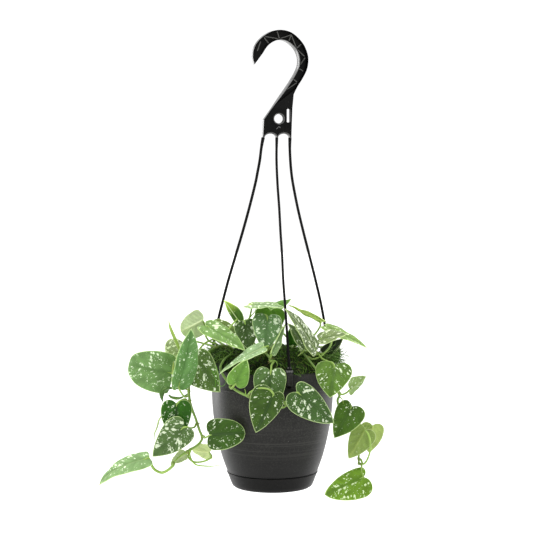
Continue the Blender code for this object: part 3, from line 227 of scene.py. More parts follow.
}
SPEARS = {
    "leaf_d": ("vine_left", [(205.6, 354.6, -35), (198, 353.4, -36), (190, 354, -38), (183, 352.6, -40), (179.2, 348, -42), (176.6, 342, -43), (173, 334, -43), (170.2, 327, -42), (168.7, 321.2, -41)],
               [1.1, 0.9, 0.9, 1.1, 1.5, 1.9, 1.9, 1.5, 0.35]),
}
HALF_LEAF = [(0.0, 0.0), (0.05, -0.055), (0.15, -0.108), (0.29, -0.118), (0.425, -0.055), (0.498, 0.08), (0.498, 0.23),
             (0.45, 0.41), (0.355, 0.60), (0.23, 0.775), (0.10, 0.915), (0.0, 1.0)]
BLUNT_LEAF = [(0.0, 0.0), (0.05, -0.055), (0.15, -0.108), (0.29, -0.118), (0.425, -0.055), (0.498, 0.08), (0.51, 0.23),
              (0.50, 0.42), (0.455, 0.62), (0.37, 0.79), (0.215, 0.935), (0.0, 1.0)]


def smooth(points, count):
    """Points spread evenly along the smooth curve through the given ones."""
    p = np.asarray(points, float)
    if len(p) == 2:
        t = np.linspace(0, 1, count)[:, None]
        return p[0] * (1 - t) + p[1] * t
    q = np.vstack([2 * p[0] - p[1], p, 2 * p[-1] - p[-2]])
    fine = []
    for i in range(1, len(q) - 2):
        for t in np.linspace(0, 1, 24, endpoint=False):
            fine.append(0.5 * (2 * q[i] + (q[i + 1] - q[i - 1]) * t
                               + (2 * q[i - 1] - 5 * q[i] + 4 * q[i + 1] - q[i + 2]) * t * t
                               + (3 * q[i] - q[i - 1] - 3 * q[i + 1] + q[i + 2]) * t ** 3))
    fine = np.array(fine + [p[-1]])
    run = np.concatenate([[0], np.cumsum(np.linalg.norm(np.diff(fine, axis=0), axis=1))])
    want = np.linspace(0, run[-1], count)
    return np.stack([np.interp(want, run, fine[:, k]) for k in range(fine.shape[1])], 1)


def through(points, each):
    """Points on the smooth curve through the given ones, the same number between each two."""
    p = np.asarray(points, float)
    q = np.vstack([2 * p[0] - p[1], p, 2 * p[-1] - p[-2]])
    fine = []
    for i in range(1, len(q) - 2):
        for t in np.linspace(0, 1, each, endpoint=False):
            fine.append(0.5 * (2 * q[i] + (q[i + 1] - q[i - 1]) * t
                               + (2 * q[i - 1] - 5 * q[i] + 4 * q[i + 1] - q[i + 2]) * t * t
                               + (3 * q[i] - q[i - 1] - 3 * q[i + 1] + q[i + 2]) * t ** 3))
    return np.array(fine + [p[-1]])


def unit(v):
    return v / max(np.linalg.norm(v), 1e-12)


def sweep(path, radius, sides, flat=None):
    """A closed tube round a path. radius is a number or one for each point; flat=(wide, thin, direction)."""
    path = np.asarray(path, float)
    n = len(path)
    radius = np.broadcast_to(np.asarray(radius, float), (n,))
    tangent = np.gradient(path, axis=0)
    tangent /= np.linalg.norm(tangent, axis=1)[:, None]
    side = flat[2] if flat else np.array([0.31, -0.83, 0.46])
    verts = []
    for i in range(n):
        side = unit(side - tangent[i] * np.dot(side, tangent[i]))
        other = np.cross(tangent[i], side)
        for k in range(sides):
            a = 2 * math.pi * (k + 0.5) / sides
            if flat:
                verts.append(path[i] + side * math.cos(a) * flat[0] * radius[i] + other * math.sin(a) * flat[1] * radius[i])
            else:
                verts.append(path[i] + (side * math.cos(a) + other * math.sin(a)) * radius[i])
    faces = []
    for i in range(n - 1):
        for k in range(sides):
            a, b = i * sides + k, i * sides + (k + 1) % sides
            faces.append((a, b, b + sides, a + sides))
    faces.append(tuple(range(sides - 1, -1, -1)))
    faces.append(tuple((n - 1) * sides + k for k in range(sides)))
    return np.array(verts), faces


def half_outline(spec):
    blunt = spec.get("blunt", 0.0)
    return [(a[0] * (1 - blunt) + b[0] * blunt, a[1] * (1 - blunt) + b[1] * blunt) for a, b in zip(HALF_LEAF, BLUNT_LEAF)]


def leaf_frame(spec, reach):
    """Origin, axes (right, along, up) and true length of the leaf."""
    base, tip = place(spec["base"]), place(spec["tip"])
    along = unit(tip - base)
    look = unit(base * np.array([1, 1, 0])) if spec.get("out") else unit(np.array(EYE) - base)
    up = unit(look - along * np.dot(look, along))
    a = math.radians(spec["roll"])
    up = up * math.cos(a) + np.cross(along, up) * math.sin(a)
    chord = math.hypot(*reach)
    length = np.linalg.norm(tip - base) / chord
    # the drawn chord runs from base to tip; the local one leans by this much
    lean = math.atan2(reach[1], reach[0])
    y_axis = along * math.cos(lean) - up * math.sin(lean)
    z_axis = along * math.sin(lean) + up * math.cos(lean)
    return base, np.cross(y_axis, z_axis), y_axis, z_axis, length


def prism(outline, low, high, frame):
    """A slab with a drawn outline (a, z), from low to high through the plate, in the plate's frame."""
    origin, right, normal = frame
    n = len(outline)
    verts = [origin + right * a + np.array([0, 0, z]) + normal * d for d in (low, high) for a, z in outline]
    faces = [tuple(range(n)), tuple(range(2 * n - 1, n - 1, -1))]
    for k in range(n):
        m = (k + 1) % n
        faces.append((k, m, m + n, k + n))
    return np.array(verts), faces


def box(centre, size, azimuth=0.0):
    """A box whose local Y points outwards at the azimuth."""
    a = math.radians(azimuth)
    right = np.array([math.cos(a), math.sin(a), 0])
    out = np.array([math.sin(a), -math.cos(a), 0])
    up = np.array([0, 0, 1.0])
    c = np.asarray(centre, float)
    verts = [c + right * sx * size[0] / 2 + out * sy * size[1] / 2 + up * sz * size[2] / 2
             for sz in (-1, 1) for sx, sy in ((-1, -1), (1, -1), (1, 1), (-1, 1))]
    faces = [(3, 2, 1, 0), (4, 5, 6, 7), (0, 1, 5, 4), (1, 2, 6, 5), (2, 3, 7, 6), (3, 0, 4, 7)]
    return np.array(verts), faces


def drum(centre, axis, radius, length, sides=16):
    """A closed cylinder about an axis."""
    axis = unit(np.asarray(axis, float))
    c = np.asarray(centre, float)
    return sweep([c - axis * length / 2, c + axis * length / 2], radius, sides)


def outer_wall(z):
    """Outside radius of the pot and saucer at a height above the table line."""
    return float(np.interp(z, [0, 2, 6, 14, 22, 37, 52, 68, 83, 98, 113, 127, 149],
                           [47, 50.2, 51.8, 54.6, 57.3, 62.6, 66.7, 70.2, 72.9, 74.6, 75.5, 75.9, 76.2]))


def moss_height(r):
    return MOSS_TOP_Z - (MOSS_TOP_Z - MOSS_EDGE_Z) * (min(r, 72.4) / 72.4) ** 3.4

SEAT_U, SEAT_V = 278.4, 40.1  # the hook's seat on the elevation
PLATE_SCALE = 1.228


def on_plate(u, v):
    """(along the plate, height above the seat) of a point drawn on the elevation."""
    return (u - SEAT_U) * PLATE_SCALE / math.cos(math.radians(PLATE_YAW)), (SEAT_V - v) * PLATE_SCALE


def plate_frame():
    a = math.radians(PLATE_YAW)
    right = np.array([math.cos(a), math.sin(a), 0])
    normal = np.array([math.sin(a), -math.cos(a), 0])
    return HOOK_SEAT, right, normal

HOOK_OUTER = [(253.8, 65.1), (252.3, 58), (253.2, 50), (257.9, 41.4), (266.8, 33.8), (275.7, 30.5), (284.6, 30.7), (292.8, 34.2),
              (301.6, 43), (306.2, 53), (307, 61), (305.4, 69.5), (301.2, 78), (296, 86.4), (292.2, 94)]
HOOK_INNER = [(253.8, 65.1), (257.2, 60.3), (261.4, 54.3), (265.9, 47.2), (271.4, 42.4), (278.4, 40.1), (286.4, 41.6), (293.6, 47.4),
              (297.6, 55), (298.4, 62.9), (296, 70.4), (290.4, 80.4), (283, 91.4), (274, 104), (263.2, 119.4)]
HOOK_RIBS = [((263.7, 37.0), (278.8, 39.2)), ((263.7, 37.4), (268.6, 43.7)), ((277.1, 31.6), (279.3, 38.8)), ((279.3, 39.2), (291.3, 34.7)),
             ((291.3, 34.7), (288.7, 41.4)), ((291.3, 34.7), (296.7, 48.1)), ((296.7, 48.1), (301.2, 43.7)), ((296.7, 48.6), (304.7, 55.7)),
             ((305.4, 57.1), (299.4, 65.5)), ((299.4, 68.2), (303.4, 70.4)), ((292.7, 78.0), (297.1, 81.6)), ((296.7, 82.5), (285.5, 90.1)),
             ((261.0, 42.3), (256.4, 56.4))]
ARCHES = [(277.3, 289.1, 4.2), (263.8, 275.9, 4.2)]
PLATE_FOOT = (262.2, 290.7, 137.5)
HALF_THIN = 1.9  # half the plate's thickness at its thin ends


def on_face(u, v, depth):
    """The same as on_plate, for a point drawn on the face at a depth in front of the middle."""
    a = math.radians(PLATE_YAW)
    return ((u - SEAT_U) * PLATE_SCALE - math.sin(a) * depth) / math.cos(a), (SEAT_V - v) * PLATE_SCALE


def wedges(frame):
    """Solids that thin the plate from both faces: towards its foot, and towards the hook's tip."""
    origin, right, normal = frame
    up = np.array([0, 0, 1.0])
    half = PLATE_DEPTH / 2
    high, low = on_plate(0, 90)[1], on_plate(0, 108)[1]
    made = []
    for face in (1, -1):
        foot = [(high, half + 0.4), (low, HALF_THIN), (low - 60, HALF_THIN), (low - 60, 14), (high, 14)]
        tip = [(9.0, half + 0.4), (-36.0, HALF_THIN - 0.2), (-48.0, HALF_THIN - 0.2), (-48.0, 14), (9.0, 14)]
        for shape, along, across, reach in ((foot, up, right, 60), (tip, right, up, 0)):
            n = len(shape)
            ends = ((-reach, reach) if reach else (on_plate(0, 100)[1], 40))
            verts = [origin + along * a + normal * d * face + across * e for e in ends for a, d in shape]
            faces = [tuple(range(n)), tuple(range(2 * n - 1, n - 1, -1))] + [(k, (k + 1) % n, (k + 1) % n + n, k + n) for k in range(n)]
            made.append((np.array(verts), faces))
    return made

STRANDS = {
    "front": (276.6, [(138.1, 276.6), (160, 276.5), (184, 277.5), (208, 279.2), (232, 280.5), (256, 282.1), (280, 283.2), (307, 285.2), (334.6, 287.1), (353.8, 288.2)]),
    "left": (262.9, [(138.1, 262.6), (148, 261.3), (160, 259.8), (172, 257.6), (184, 255.2), (208, 249.2), (232, 242.6), (256, 235.5), (280, 228.4), (299.6, 223.2), (314.6, 219.4), (332, 215.6), (350, 212.4)]),
    "right": (289.9, [(138.1, 289.7), (148, 289.8), (160, 290.3), (172, 291.3), (184, 293), (208, 297.7), (232, 303.4), (256, 309.5), (280, 315.5), (304, 321), (328, 325.3), (345, 327.6)]),
}


def strand_path(name):
    """Points of a strand, from under the plate down to its foot."""
    start_u, drawn = STRANDS[name]
    origin, right, _ = plate_frame()
    a, z = on_plate(start_u, PLATE_FOOT[2])
    top = origin + right * a + np.array([0, 0, z - 0.35])
    azimuth = SOCKETS[name]
    foot = ring(azimuth, SOCKET_R, SOCKET_Z[1] + 4.0)
    points = [top]
    # sideways places come from the elevation; depth goes evenly from the plate to the foot
    head = top[2]
    for v, u in drawn[1:]:
        y = foot[1] * 0.5
        for _ in range(6):
            p = at(u, v, y)
            t = (head - p[2]) / (head - foot[2])
            ease = t + 0.10 * math.sin(2 * math.pi * t) * -1.0
            y = top[1] + (foot[1] - top[1]) * min(max(ease, 0), 1)
        points.append(at(u, v, y))
    points.append(foot)
    return points, azimuth


# ------------------------------------------------------------------- looks
# leaf: tint of the upper side, tint of the underside, how spotted, size of the spots
# each leaf's tints were matched to how light or dark that leaf looks, so besides its own green they hold part of the
# light, shade and grey sheen falling on it
LOOKS = {
    "leaf_a": ("sage", "pale", 0.46, 1.1), "leaf_b": ("sage", "pale", 0.42, 1.0), "leaf_c": ("ash", "pale", 0.86, 1.0),
    "leaf_e": ("sage", "mist", 0.30, 1.0), "leaf_f": ("leaf", "pale", 0.50, 1.0), "leaf_g": ("soft", "pale", 0.50, 1.1),
    "leaf_h": ("wood", "pale", 0.64, 1.0), "leaf_i": ("silver", "pale", 0.56, 1.1), "leaf_j": ("glow", "pale", 0.20, 0.9),
    "leaf_k": ("dusk", "pale", 0.56, 1.0), "leaf_m": ("pine", "pale", 0.38, 1.1), "leaf_n": ("shade", "pale", 0.60, 1.1),
    "leaf_o": ("leaf", "pale", 0.48, 1.1), "leaf_p": ("mid", "sagepale", 0.20, 1.0), "leaf_q": ("forest", "pale", 0.44, 0.9),
    "leaf_r": ("mid", "moss", 0.30, 1.0), "leaf_s": ("mid", "meadow", 0.30, 1.0), "leaf_t": ("fresh", "pale", 0.46, 1.2),
    "leaf_u": ("deep", "pale", 0.36, 1.2), "leaf_v": ("dusk", "pale", 0.60, 1.2), "leaf_w": ("frost", "pale", 0.46, 1.1),
    "leaf_x": ("mid", "ash", 0.20, 1.0), "leaf_y": ("mid", "cream", 0.20, 1.0), "leaf_z": ("pine", "pale", 0.42, 1.1),
    # the saturated tints of leaf_c2's and leaf_d2's undersides (vivid) and of leaf_k2 (butter) are painted backlight:
    # light shining through those leaves
    "leaf_b2": ("frost", "bright", 0.70, 1.0), "leaf_a2": ("forest", "pale", 0.16, 1.0), "leaf_c2": ("shade", "vivid", 0.20, 1.0),
    "leaf_d2": ("mid", "vivid", 0.20, 1.0), "leaf_e2": ("slate", "pale", 0.54, 1.2), "leaf_f2": ("shade", "pale", 0.60, 1.0),
    "leaf_g2": ("frost", "pale", 0.50, 1.0), "leaf_h2": ("heath", "pale", 0.56, 1.2), "leaf_i2": ("heath", "pale", 0.62, 1.1),
    "leaf_j2": ("mid", "deep", 0.20, 1.0), "leaf_k2": ("butter", "butter", 0.0, 1.0), "leaf_l2": ("stone", "pale", 0.60, 1.1),
    # leaf_o2 and leaf_p2 hang deep in shade, and their near-black tint is painted shadow
    "leaf_m2": ("olive", "pale", 0.52, 1.0), "leaf_o2": ("painted_shadow", "pale", 0.30, 1.0), "leaf_p2": ("painted_shadow", "painted_shadow", 0.30, 1.0),
    "leaf_back_1": ("mid", "pale", 0.55, 1.0), "leaf_back_2": ("shade", "pale", 0.65, 1.0), "leaf_back_3": ("leaf", "pale", 0.50, 1.0),
    "leaf_back_4": ("mid", "pale", 0.60, 1.0), "leaf_back_5": ("leaf", "pale", 0.55, 1.0),
}
# what sets single leaves apart: a pale midrib (or, below zero, a darker one: painted shade in the midrib's groove),
# blotches that show through underneath, a stouter petiole, and a second tint at the base or the tip
TRAITS = {
    "leaf_a2": dict(pale_rib=1.0, tip="lime"), "leaf_i": dict(pale_rib=0.7), "leaf_w": dict(stalk=1.5, pale_rib=0.3), "leaf_g2": dict(pale_rib=0.9),
    "leaf_b2": dict(base="butter"), "leaf_p": dict(through=0.34), "leaf_r": dict(through=0.14, pale_rib=0.5), "leaf_e": dict(through=0.16),
    "leaf_x": dict(through=0.2), "leaf_y": dict(through=0.12), "leaf_s": dict(pale_rib=0.5), "leaf_c": dict(pale_rib=0.4), "leaf_h2": dict(pale_rib=0.5),
    "leaf_u": dict(pale_rib=-1.0), "leaf_m": dict(pale_rib=-0.7), "leaf_z": dict(pale_rib=-0.4), "leaf_k": dict(pale_rib=-0.3),
}

# named greens, as screen values from 0 to 255
TINTS = {
    "sage": (110, 152, 86), "leaf": (92, 122, 40), "mid": (76, 118, 38), "shade": (66, 96, 38), "dark": (44, 76, 20),
    "deep": (42, 94, 4), "forest": (68, 108, 24), "fresh": (108, 153, 36), "bright": (96, 142, 44), "slate": (104, 140, 82),
    "stone": (126, 148, 90), "frost": (136, 172, 110), "pale": (156, 188, 98), "mist": (208, 226, 178), "lime": (172, 208, 74),
    # vivid on this line, and butter below, paint the light shining through backlit leaf_c2, leaf_d2 and leaf_k2
    "vivid": (78, 126, 14), "moss": (138, 166, 82), "sagepale": (134, 160, 88), "ash": (168, 188, 132), "cream": (206, 222, 150),
    "olive": (134, 164, 72), "soft": (122, 158, 78), "wood": (76, 108, 42), "silver": (156, 182, 130), "pine": (56, 88, 20),
    # the near-black tint of leaf_o2 and leaf_p2 on this line is painted shadow
    "painted_shadow": (24, 40, 6), "heath": (90, 112, 62), "meadow": (176, 200, 110), "butter": (206, 230, 122), "glow": (108, 156, 58), "dusk": (84, 116, 58),
}


def linear(rgb, gain=1.0):
    """Scene-linear colour of a screen colour."""
    c = np.asarray(rgb, float) / 255
    return tuple(float(v) for v in np.where(c <= 0.04045, c / 12.92, ((c + 0.055) / 1.055) ** 2.4) * gain)


GAIN = 0.80


# ------------------------------------------------------------- mesh helpers
def to_world(p):
    return (np.asarray(p, float) - HOOK_SEAT) * MM


def shell(name, verts, faces, mats, which=None, values=None, sharp=None, world=True):
    """A mesh object from arrays: faces is a list of (n, k) index arrays, which a material index or array for each."""
    mesh = bpy.data.meshes.new(name)
    verts = to_world(verts) if world else np.asarray(verts, float)
    faces = [np.asarray(f, np.int64) for f in faces if len(f)]
    which = which if which is not None else [0] * len(faces)
    loops = np.concatenate([f.reshape(-1) for f in faces])
    sizes = np.concatenate([np.full(len(f), f.shape[1]) for f in faces])
    starts = np.concatenate([[0], np.cumsum(sizes)[:-1]])
    index = np.concatenate([np.broadcast_to(np.asarray(w, np.int64), (len(f),)) for f, w in zip(faces, which)])
    mesh.vertices.add(len(verts))
    mesh.vertices.foreach_set("co", verts.astype(np.float32).ravel())
    mesh.loops.add(len(loops))
    mesh.loops.foreach_set("vertex_index", loops.astype(np.int32))
    mesh.polygons.add(len(sizes))
    mesh.polygons.foreach_set("loop_start", starts.astype(np.int32))
    for mat in mats:
        mesh.materials.append(mat)
    mesh.update(calc_edges=True)
    mesh.polygons.foreach_set("material_index", index.astype(np.int32))
    mesh.polygons.foreach_set("use_smooth", np.ones(len(sizes), bool))
    for key, value in (values or {}).items():
        value = np.asarray(value, float)
        if value.ndim == 1:
            mesh.attributes.new(key, "FLOAT", "POINT").data.foreach_set("value", value.astype(np.float32))
        elif value.shape[1] == 3:
            mesh.attributes.new(key, "FLOAT_VECTOR", "POINT").data.foreach_set("vector", value.astype(np.float32).ravel())
    if mesh.validate():
        print("mesh repaired:", name)
    if sharp is not None:
        mesh.set_sharp_from_angle(angle=math.radians(sharp))
    obj = bpy.data.objects.new(name, mesh)
    bpy.context.scene.collection.objects.link(obj)
    return obj


def normals_of(points, faces):
    total = np.zeros_like(points)
    for f in faces:
        for k in range(f.shape[1] - 2):
            a, b, c = points[f[:, 0]], points[f[:, k + 1]], points[f[:, k + 2]]
            n = np.cross(b - a, c - a)
            for j in range(f.shape[1]):
                np.add.at(total, f[:, j], n)
    return total / np.maximum(np.linalg.norm(total, axis=1), 1e-12)[:, None]


def tube(path, radius, sides, flat=None, side=None, round_end=True):
    """A closed tube as (points, quads, triangles); radius one number or one for each point."""
    path = np.asarray(path, float)
    radius = np.broadcast_to(np.asarray(radius, float), (len(path),)).copy()
    if round_end:
        # a dome on both ends
        start, finish = unit(path[0] - path[1]), unit(path[-1] - path[-2])
        extra = [(0.95, 0.35), (0.70, 0.72)]
        path = np.vstack([[path[0] + start * radius[0] * e[1] for e in extra[::-1]], path, [path[-1] + finish * radius[-1] * e[1] for e in extra]])
        radius = np.concatenate([[radius[0] * e[0] for e in extra[::-1]], radius, [radius[-1] * e[0] for e in extra]])
    n = len(path)
    tangent = np.gradient(path, axis=0)
    tangent /= np.maximum(np.linalg.norm(tangent, axis=1), 1e-9)[:, None]
    side = np.asarray(side if side is not None else (flat[2] if flat else (0.31, -0.83, 0.46)), float)
    ring_angle = 2 * math.pi * np.arange(sides) / sides
    verts = []
    for i in range(n):
        side = unit(side - tangent[i] * np.dot(side, tangent[i]))
        other = np.cross(tangent[i], side)
        wide, thin = (flat[0], flat[1]) if flat else (1.0, 1.0)
        verts.append(path[i] + (side * np.cos(ring_angle)[:, None] * wide + other * np.sin(ring_angle)[:, None] * thin) * radius[i])
    end = 0.95 * radius[0] if round_end else 0
    caps = [path[0] - tangent[0] * 0.25 * end, path[-1] + tangent[-1] * 0.25 * end]
    verts = np.vstack(verts + [caps])
    i, k = np.meshgrid(np.arange(n - 1), np.arange(sides), indexing="ij")
    m = (k + 1) % sides
    quads = np.stack([i * sides + k, i * sides + m, (i + 1) * sides + m, (i + 1) * sides + k], -1).reshape(-1, 4)
    k = np.arange(sides)
    m = (k + 1) % sides
    low, high = n * sides, n * sides + 1
    tris = np.vstack([np.stack([np.full(sides, low), m, k], 1), np.stack([np.full(sides, high), (n - 1) * sides + k, (n - 1) * sides + m], 1)])
    along = np.concatenate([np.repeat(np.arange(n), sides), [0, n - 1]])
    return verts, quads, tris, along


class Parts:
    """Collects closed pieces into the arrays of one object."""

    def __init__(self):
        self.verts, self.quads, self.tris, self.quad_mat, self.tri_mat, self.values, self.count = [], [], [], [], [], {}, 0

    def add(self, verts, quads, tris, mat=0, **values):
        self.verts.append(verts)
        self.quads.append(np.asarray(quads, np.int64).reshape(-1, 4) + self.count)
        self.tris.append(np.asarray(tris, np.int64).reshape(-1, 3) + self.count)
        self.quad_mat.append(np.broadcast_to(mat[0] if isinstance(mat, tuple) else mat, (len(self.quads[-1]),)))
        self.tri_mat.append(np.broadcast_to(mat[1] if isinstance(mat, tuple) else mat, (len(self.tris[-1]),)))
        for key, value in values.items():
            value = np.asarray(value, float)
            if value.ndim == 0:
                value = np.full(len(verts), float(value))
            elif value.ndim == 1 and len(value) == 3 and len(verts) != 3:
                value = np.tile(value, (len(verts), 1))
            self.values.setdefault(key, []).append((self.count, value))
        self.count += len(verts)

    def make(self, name, mats, **more):
        values = {}
        for key, blocks in self.values.items():
            shape = (self.count,) if blocks[0][1].ndim == 1 else (self.count, 3)
            whole = np.zeros(shape)
            for start, block in blocks:
                whole[start:start + len(block)] = block
            values[key] = whole
        return shell(name, np.vstack(self.verts), [np.vstack(self.quads), np.vstack(self.tris)], mats,
                     [np.concatenate(self.quad_mat), np.concatenate(self.tri_mat)], values, **more)


# ----------------------------------------------------------- shader helpers
class Graph:
    """A material made of nodes, written as expressions."""

    def __init__(self, name):
        self.mat = bpy.data.materials.new(name)
        self.mat.use_nodes = True
        self.nodes, self.links = self.mat.node_tree.nodes, self.mat.node_tree.links
        self.shader = self.nodes["Principled BSDF"]

    def new(self, kind, **settings):
        node = self.nodes.new(kind)
        for key, value in settings.items():
            setattr(node, key, value)
        return node

    def put(self, socket, value):
        if isinstance(value, bpy.types.NodeSocket):
            self.links.new(value, socket)
        elif value is not None:
            socket.default_value = value

    def math(self, operation, a, b=None, c=None, clamp=False):
        node = self.new("ShaderNodeMath", operation=operation, use_clamp=clamp)
        for socket, value in zip(node.inputs, (a, b, c)):
            self.put(socket, value)
        return node.outputs[0]

    def step(self, value, low, high, start=0.0, end=1.0):
        node = self.new("ShaderNodeMapRange", interpolation_type="SMOOTHSTEP")
        for socket, v in zip(node.inputs[:5], (value, low, high, start, end)):
            self.put(socket, v)
        return node.outputs[0]

    def mix(self, factor, a, b, blend="MIX"):
        node = self.new("ShaderNodeMix", data_type="RGBA", blend_type=blend, clamp_factor=True)
        self.put(node.inputs[0], factor)
        for socket, value in ((node.inputs[6], a), (node.inputs[7], b)):
            self.put(socket, (*value, 1.0) if isinstance(value, tuple) and len(value) == 3 else value)
        return node.outputs[2]

    def place(self, vector=None, scale=(1, 1, 1), shift=(0, 0, 0), turn=(0, 0, 0)):
        node = self.new("ShaderNodeMapping")
        self.put(node.inputs["Vector"], vector if vector is not None else self.coords())
        node.inputs["Scale"].default_value = scale
        node.inputs["Location"].default_value = shift
        node.inputs["Rotation"].default_value = turn
        return node.outputs[0]

    def coords(self):
        return self.new("ShaderNodeTexCoord").outputs["Object"]

    def noise(self, vector, scale, detail=3.0, rough=0.5, distortion=0.0, colour=False):
        node = self.new("ShaderNodeTexNoise")
        self.put(node.inputs["Vector"], vector)
        for key, value in (("Scale", scale), ("Detail", detail), ("Roughness", rough), ("Distortion", distortion)):
            self.put(node.inputs[key], value)
        return node.outputs["Color" if colour else "Fac"]

    def cells(self, vector, scale=1.0, random=1.0, feature="F1", colour=False):
        node = self.new("ShaderNodeTexVoronoi", feature=feature)
        self.put(node.inputs["Vector"], vector)
        self.put(node.inputs["Scale"], scale)
        self.put(node.inputs["Randomness"], random)
        return (node.outputs["Distance"], node.outputs["Color"]) if colour else node.outputs["Distance"]

    def value(self, name, vector=False):
        node = self.new("ShaderNodeAttribute", attribute_name=name)
        return node.outputs["Vector" if vector else "Fac"]

    def colour(self, name):
        return self.new("ShaderNodeAttribute", attribute_name=name).outputs["Color"]

    def shift(self, vector, by, amount):
        """vector + (by - 0.5) * amount, where by is a colour."""
        centred = self.new("ShaderNodeVectorMath", operation="SUBTRACT")
        self.put(centred.inputs[0], by)
        centred.inputs[1].default_value = (0.5, 0.5, 0.5)
        scaled = self.new("ShaderNodeVectorMath", operation="SCALE")
        self.put(scaled.inputs[0], centred.outputs[0])
        self.put(scaled.inputs["Scale"], amount)
        total = self.new("ShaderNodeVectorMath", operation="ADD")
        self.put(total.inputs[0], vector)
        self.put(total.inputs[1], scaled.outputs[0])
        return total.outputs[0]

    def bump(self, height, strength, distance, normal=None):
        node = self.new("ShaderNodeBump")
        self.put(node.inputs["Height"], height)
        self.put(node.inputs["Strength"], strength)
        self.put(node.inputs["Distance"], distance)
        if normal is not None:
            self.put(node.inputs["Normal"], normal)
        return node.outputs[0]

    def finish(self, colour, rough, normal=None, **constants):
        for socket, value in (("Base Color", colour), ("Roughness", rough), ("Normal", normal)):
            if value is not None:
                self.put(self.shader.inputs[socket], (*value, 1.0) if isinstance(value, tuple) and len(value) == 3 else value)
        for key, value in constants.items():
            self.shader.inputs[key.replace("_", " ")].default_value = value
        return self.mat


# ---------------------------------------------------------------- materials
def leaf_upper():
    g = Graph("satin_leaf_upper")
    tint, grid = g.colour("tint"), g.value("grid", True)
    spots, size, pale_rib = g.value("spots"), g.value("spot_size"), g.value("pale_rib")
    rib, rim, along = g.value("rib"), g.value("rim"), g.value("along")
    # broad and fine mottling of the green
    broad = g.noise(grid, 0.11, 2, 0.5)
    fine = g.noise(grid, 1.4, 3, 0.6)
    tone = g.math("ADD", g.step(broad, 0.25, 0.75, 0.80, 1.18), g.step(fine, 0.2, 0.8, -0.07, 0.07))
    green = g.mix(1.0, tint, tone, "MULTIPLY")
    # side veins: fine darker lines, and a dark band along the midrib; both are painted shade in the sunken veins and
    # the midrib's groove
    wave = g.shift(grid, g.noise(grid, 0.25, 1, 0.5, colour=True), 1.2)
    split = g.new("ShaderNodeSeparateXYZ")
    g.put(split.inputs[0], wave)
    veins = g.math("ABSOLUTE", g.math("SUBTRACT", g.math("FRACT", g.math("DIVIDE", split.outputs[1], 6.2)), 0.5))
    vein = g.step(veins, 0.0, 0.10, 1.0, 0.0)
    green = g.mix(g.math("MULTIPLY", vein, 0.16), green, (0.02, 0.05, 0.012))
    # painted shade in the midrib's groove: a broad darker band, and a thin darker line at its bottom
    band = g.step(rib, 0.2, 4.6, 0.42, 0.0)
    green = g.mix(band, green, g.mix(1.0, tint, (0.42, 0.52, 0.36), "MULTIPLY"))
    green = g.mix(g.step(rib, 0.10, 0.42, 0.35, 0.0), green, (0.10, 0.17, 0.05))
    light_rib = g.math("MULTIPLY", g.math("MAXIMUM", pale_rib, 0.0), g.step(rib, 0.35, 0.95, 0.9, 0.0))
    green = g.mix(light_rib, green, (0.52, 0.64, 0.30))
    # pale_rib below zero darkens the midrib line: more painted shade in its groove
    dark_rib = g.math("MULTIPLY", g.math("MAXIMUM", g.math("MULTIPLY", pale_rib, -1.0), 0.0), g.step(rib, 0.7, 2.2, 0.8, 0.0))
    green = g.mix(dark_rib, green, (0.014, 0.040, 0.006))
    # silvery blotches: ragged patches drawn out along the side veins, and small flecks between them
    flat = g.value("flat", True)
    ragged = g.shift(flat, g.noise(flat, 0.42, 2, 0.60, colour=True), 4.4)
    big = g.cells(g.place(ragged, (0.165, 0.215, 0.35)), 1.0)
    small = g.cells(g.place(ragged, (0.30, 0.37, 0.6), (7.3, 1.9, 4.1)), 1.0)
    patchy = g.noise(g.place(grid, (1, 1, 1), (31, 17, 5)), 0.085, 2, 0.5)
    reach = g.math("ADD", g.math("MULTIPLY", spots, 0.47), g.step(patchy, 0.30, 0.70, -0.13, 0.15))
    reach = g.math("MULTIPLY", reach, size)
    body = g.step(g.math("SUBTRACT", reach, big), 0.0, 0.045)
    fleck = g.step(g.math("SUBTRACT", g.math("MULTIPLY", reach, 0.70), small), 0.0, 0.05)
    blotch = g.math("MAXIMUM", body, fleck)
    pits = g.noise(grid, 1.15, 3, 0.6)
    blotch = g.math("MULTIPLY", blotch, g.step(pits, 0.27, 0.36))
    clear = g.math("MULTIPLY", g.step(g.math("ADD", rib, g.math("MULTIPLY", pits, 1.6)), 2.0, 3.4), g.step(rim, 0.9, 1.6))
    blotch = g.math("MULTIPLY", blotch, clear)
    silver = g.mix(g.step(fine, 0.3, 0.7), (0.74, 0.82, 0.58), (0.95, 1.0, 0.86))
    silver = g.mix(0.36, silver, g.mix(1.0, tint, (3.2, 2.7, 3.6), "MULTIPLY"))
    colour = g.mix(g.math("MULTIPLY", blotch, 0.96), green, silver)
    # pale margin: a painted highlight, the light that the leaf's rim catches and lets through
    line = g.step(g.math("ADD", rim, g.math("MULTIPLY", g.math("SUBTRACT", fine, 0.5), 0.35)), 0.42, 1.00, 1.0, 0.0)
    colour = g.mix(g.math("MULTIPLY", line, 0.85), colour, g.mix(0.45, (0.62, 0.76, 0.36), g.mix(1.0, tint, (2.6, 2.4, 2.6), "MULTIPLY")))
    grain = g.noise(grid, 5.5, 3, 0.6)
    rough = g.math("ADD", g.step(grain, 0.2, 0.8, 0.40, 0.52), g.math("MULTIPLY", blotch, 0.10))
    height = g.math("ADD", g.math("MULTIPLY", grain, 0.25), g.math("MULTIPLY", g.noise(grid, 1.9, 2, 0.5), 0.8))
    height = g.math("SUBTRACT", height, g.math("MULTIPLY", vein, 0.35))
    height = g.math("ADD", height, g.math("MULTIPLY", blotch, 0.25))
    return g.finish(colour, rough, g.bump(height, 0.45, 0.00035), Specular_IOR_Level=0.20)


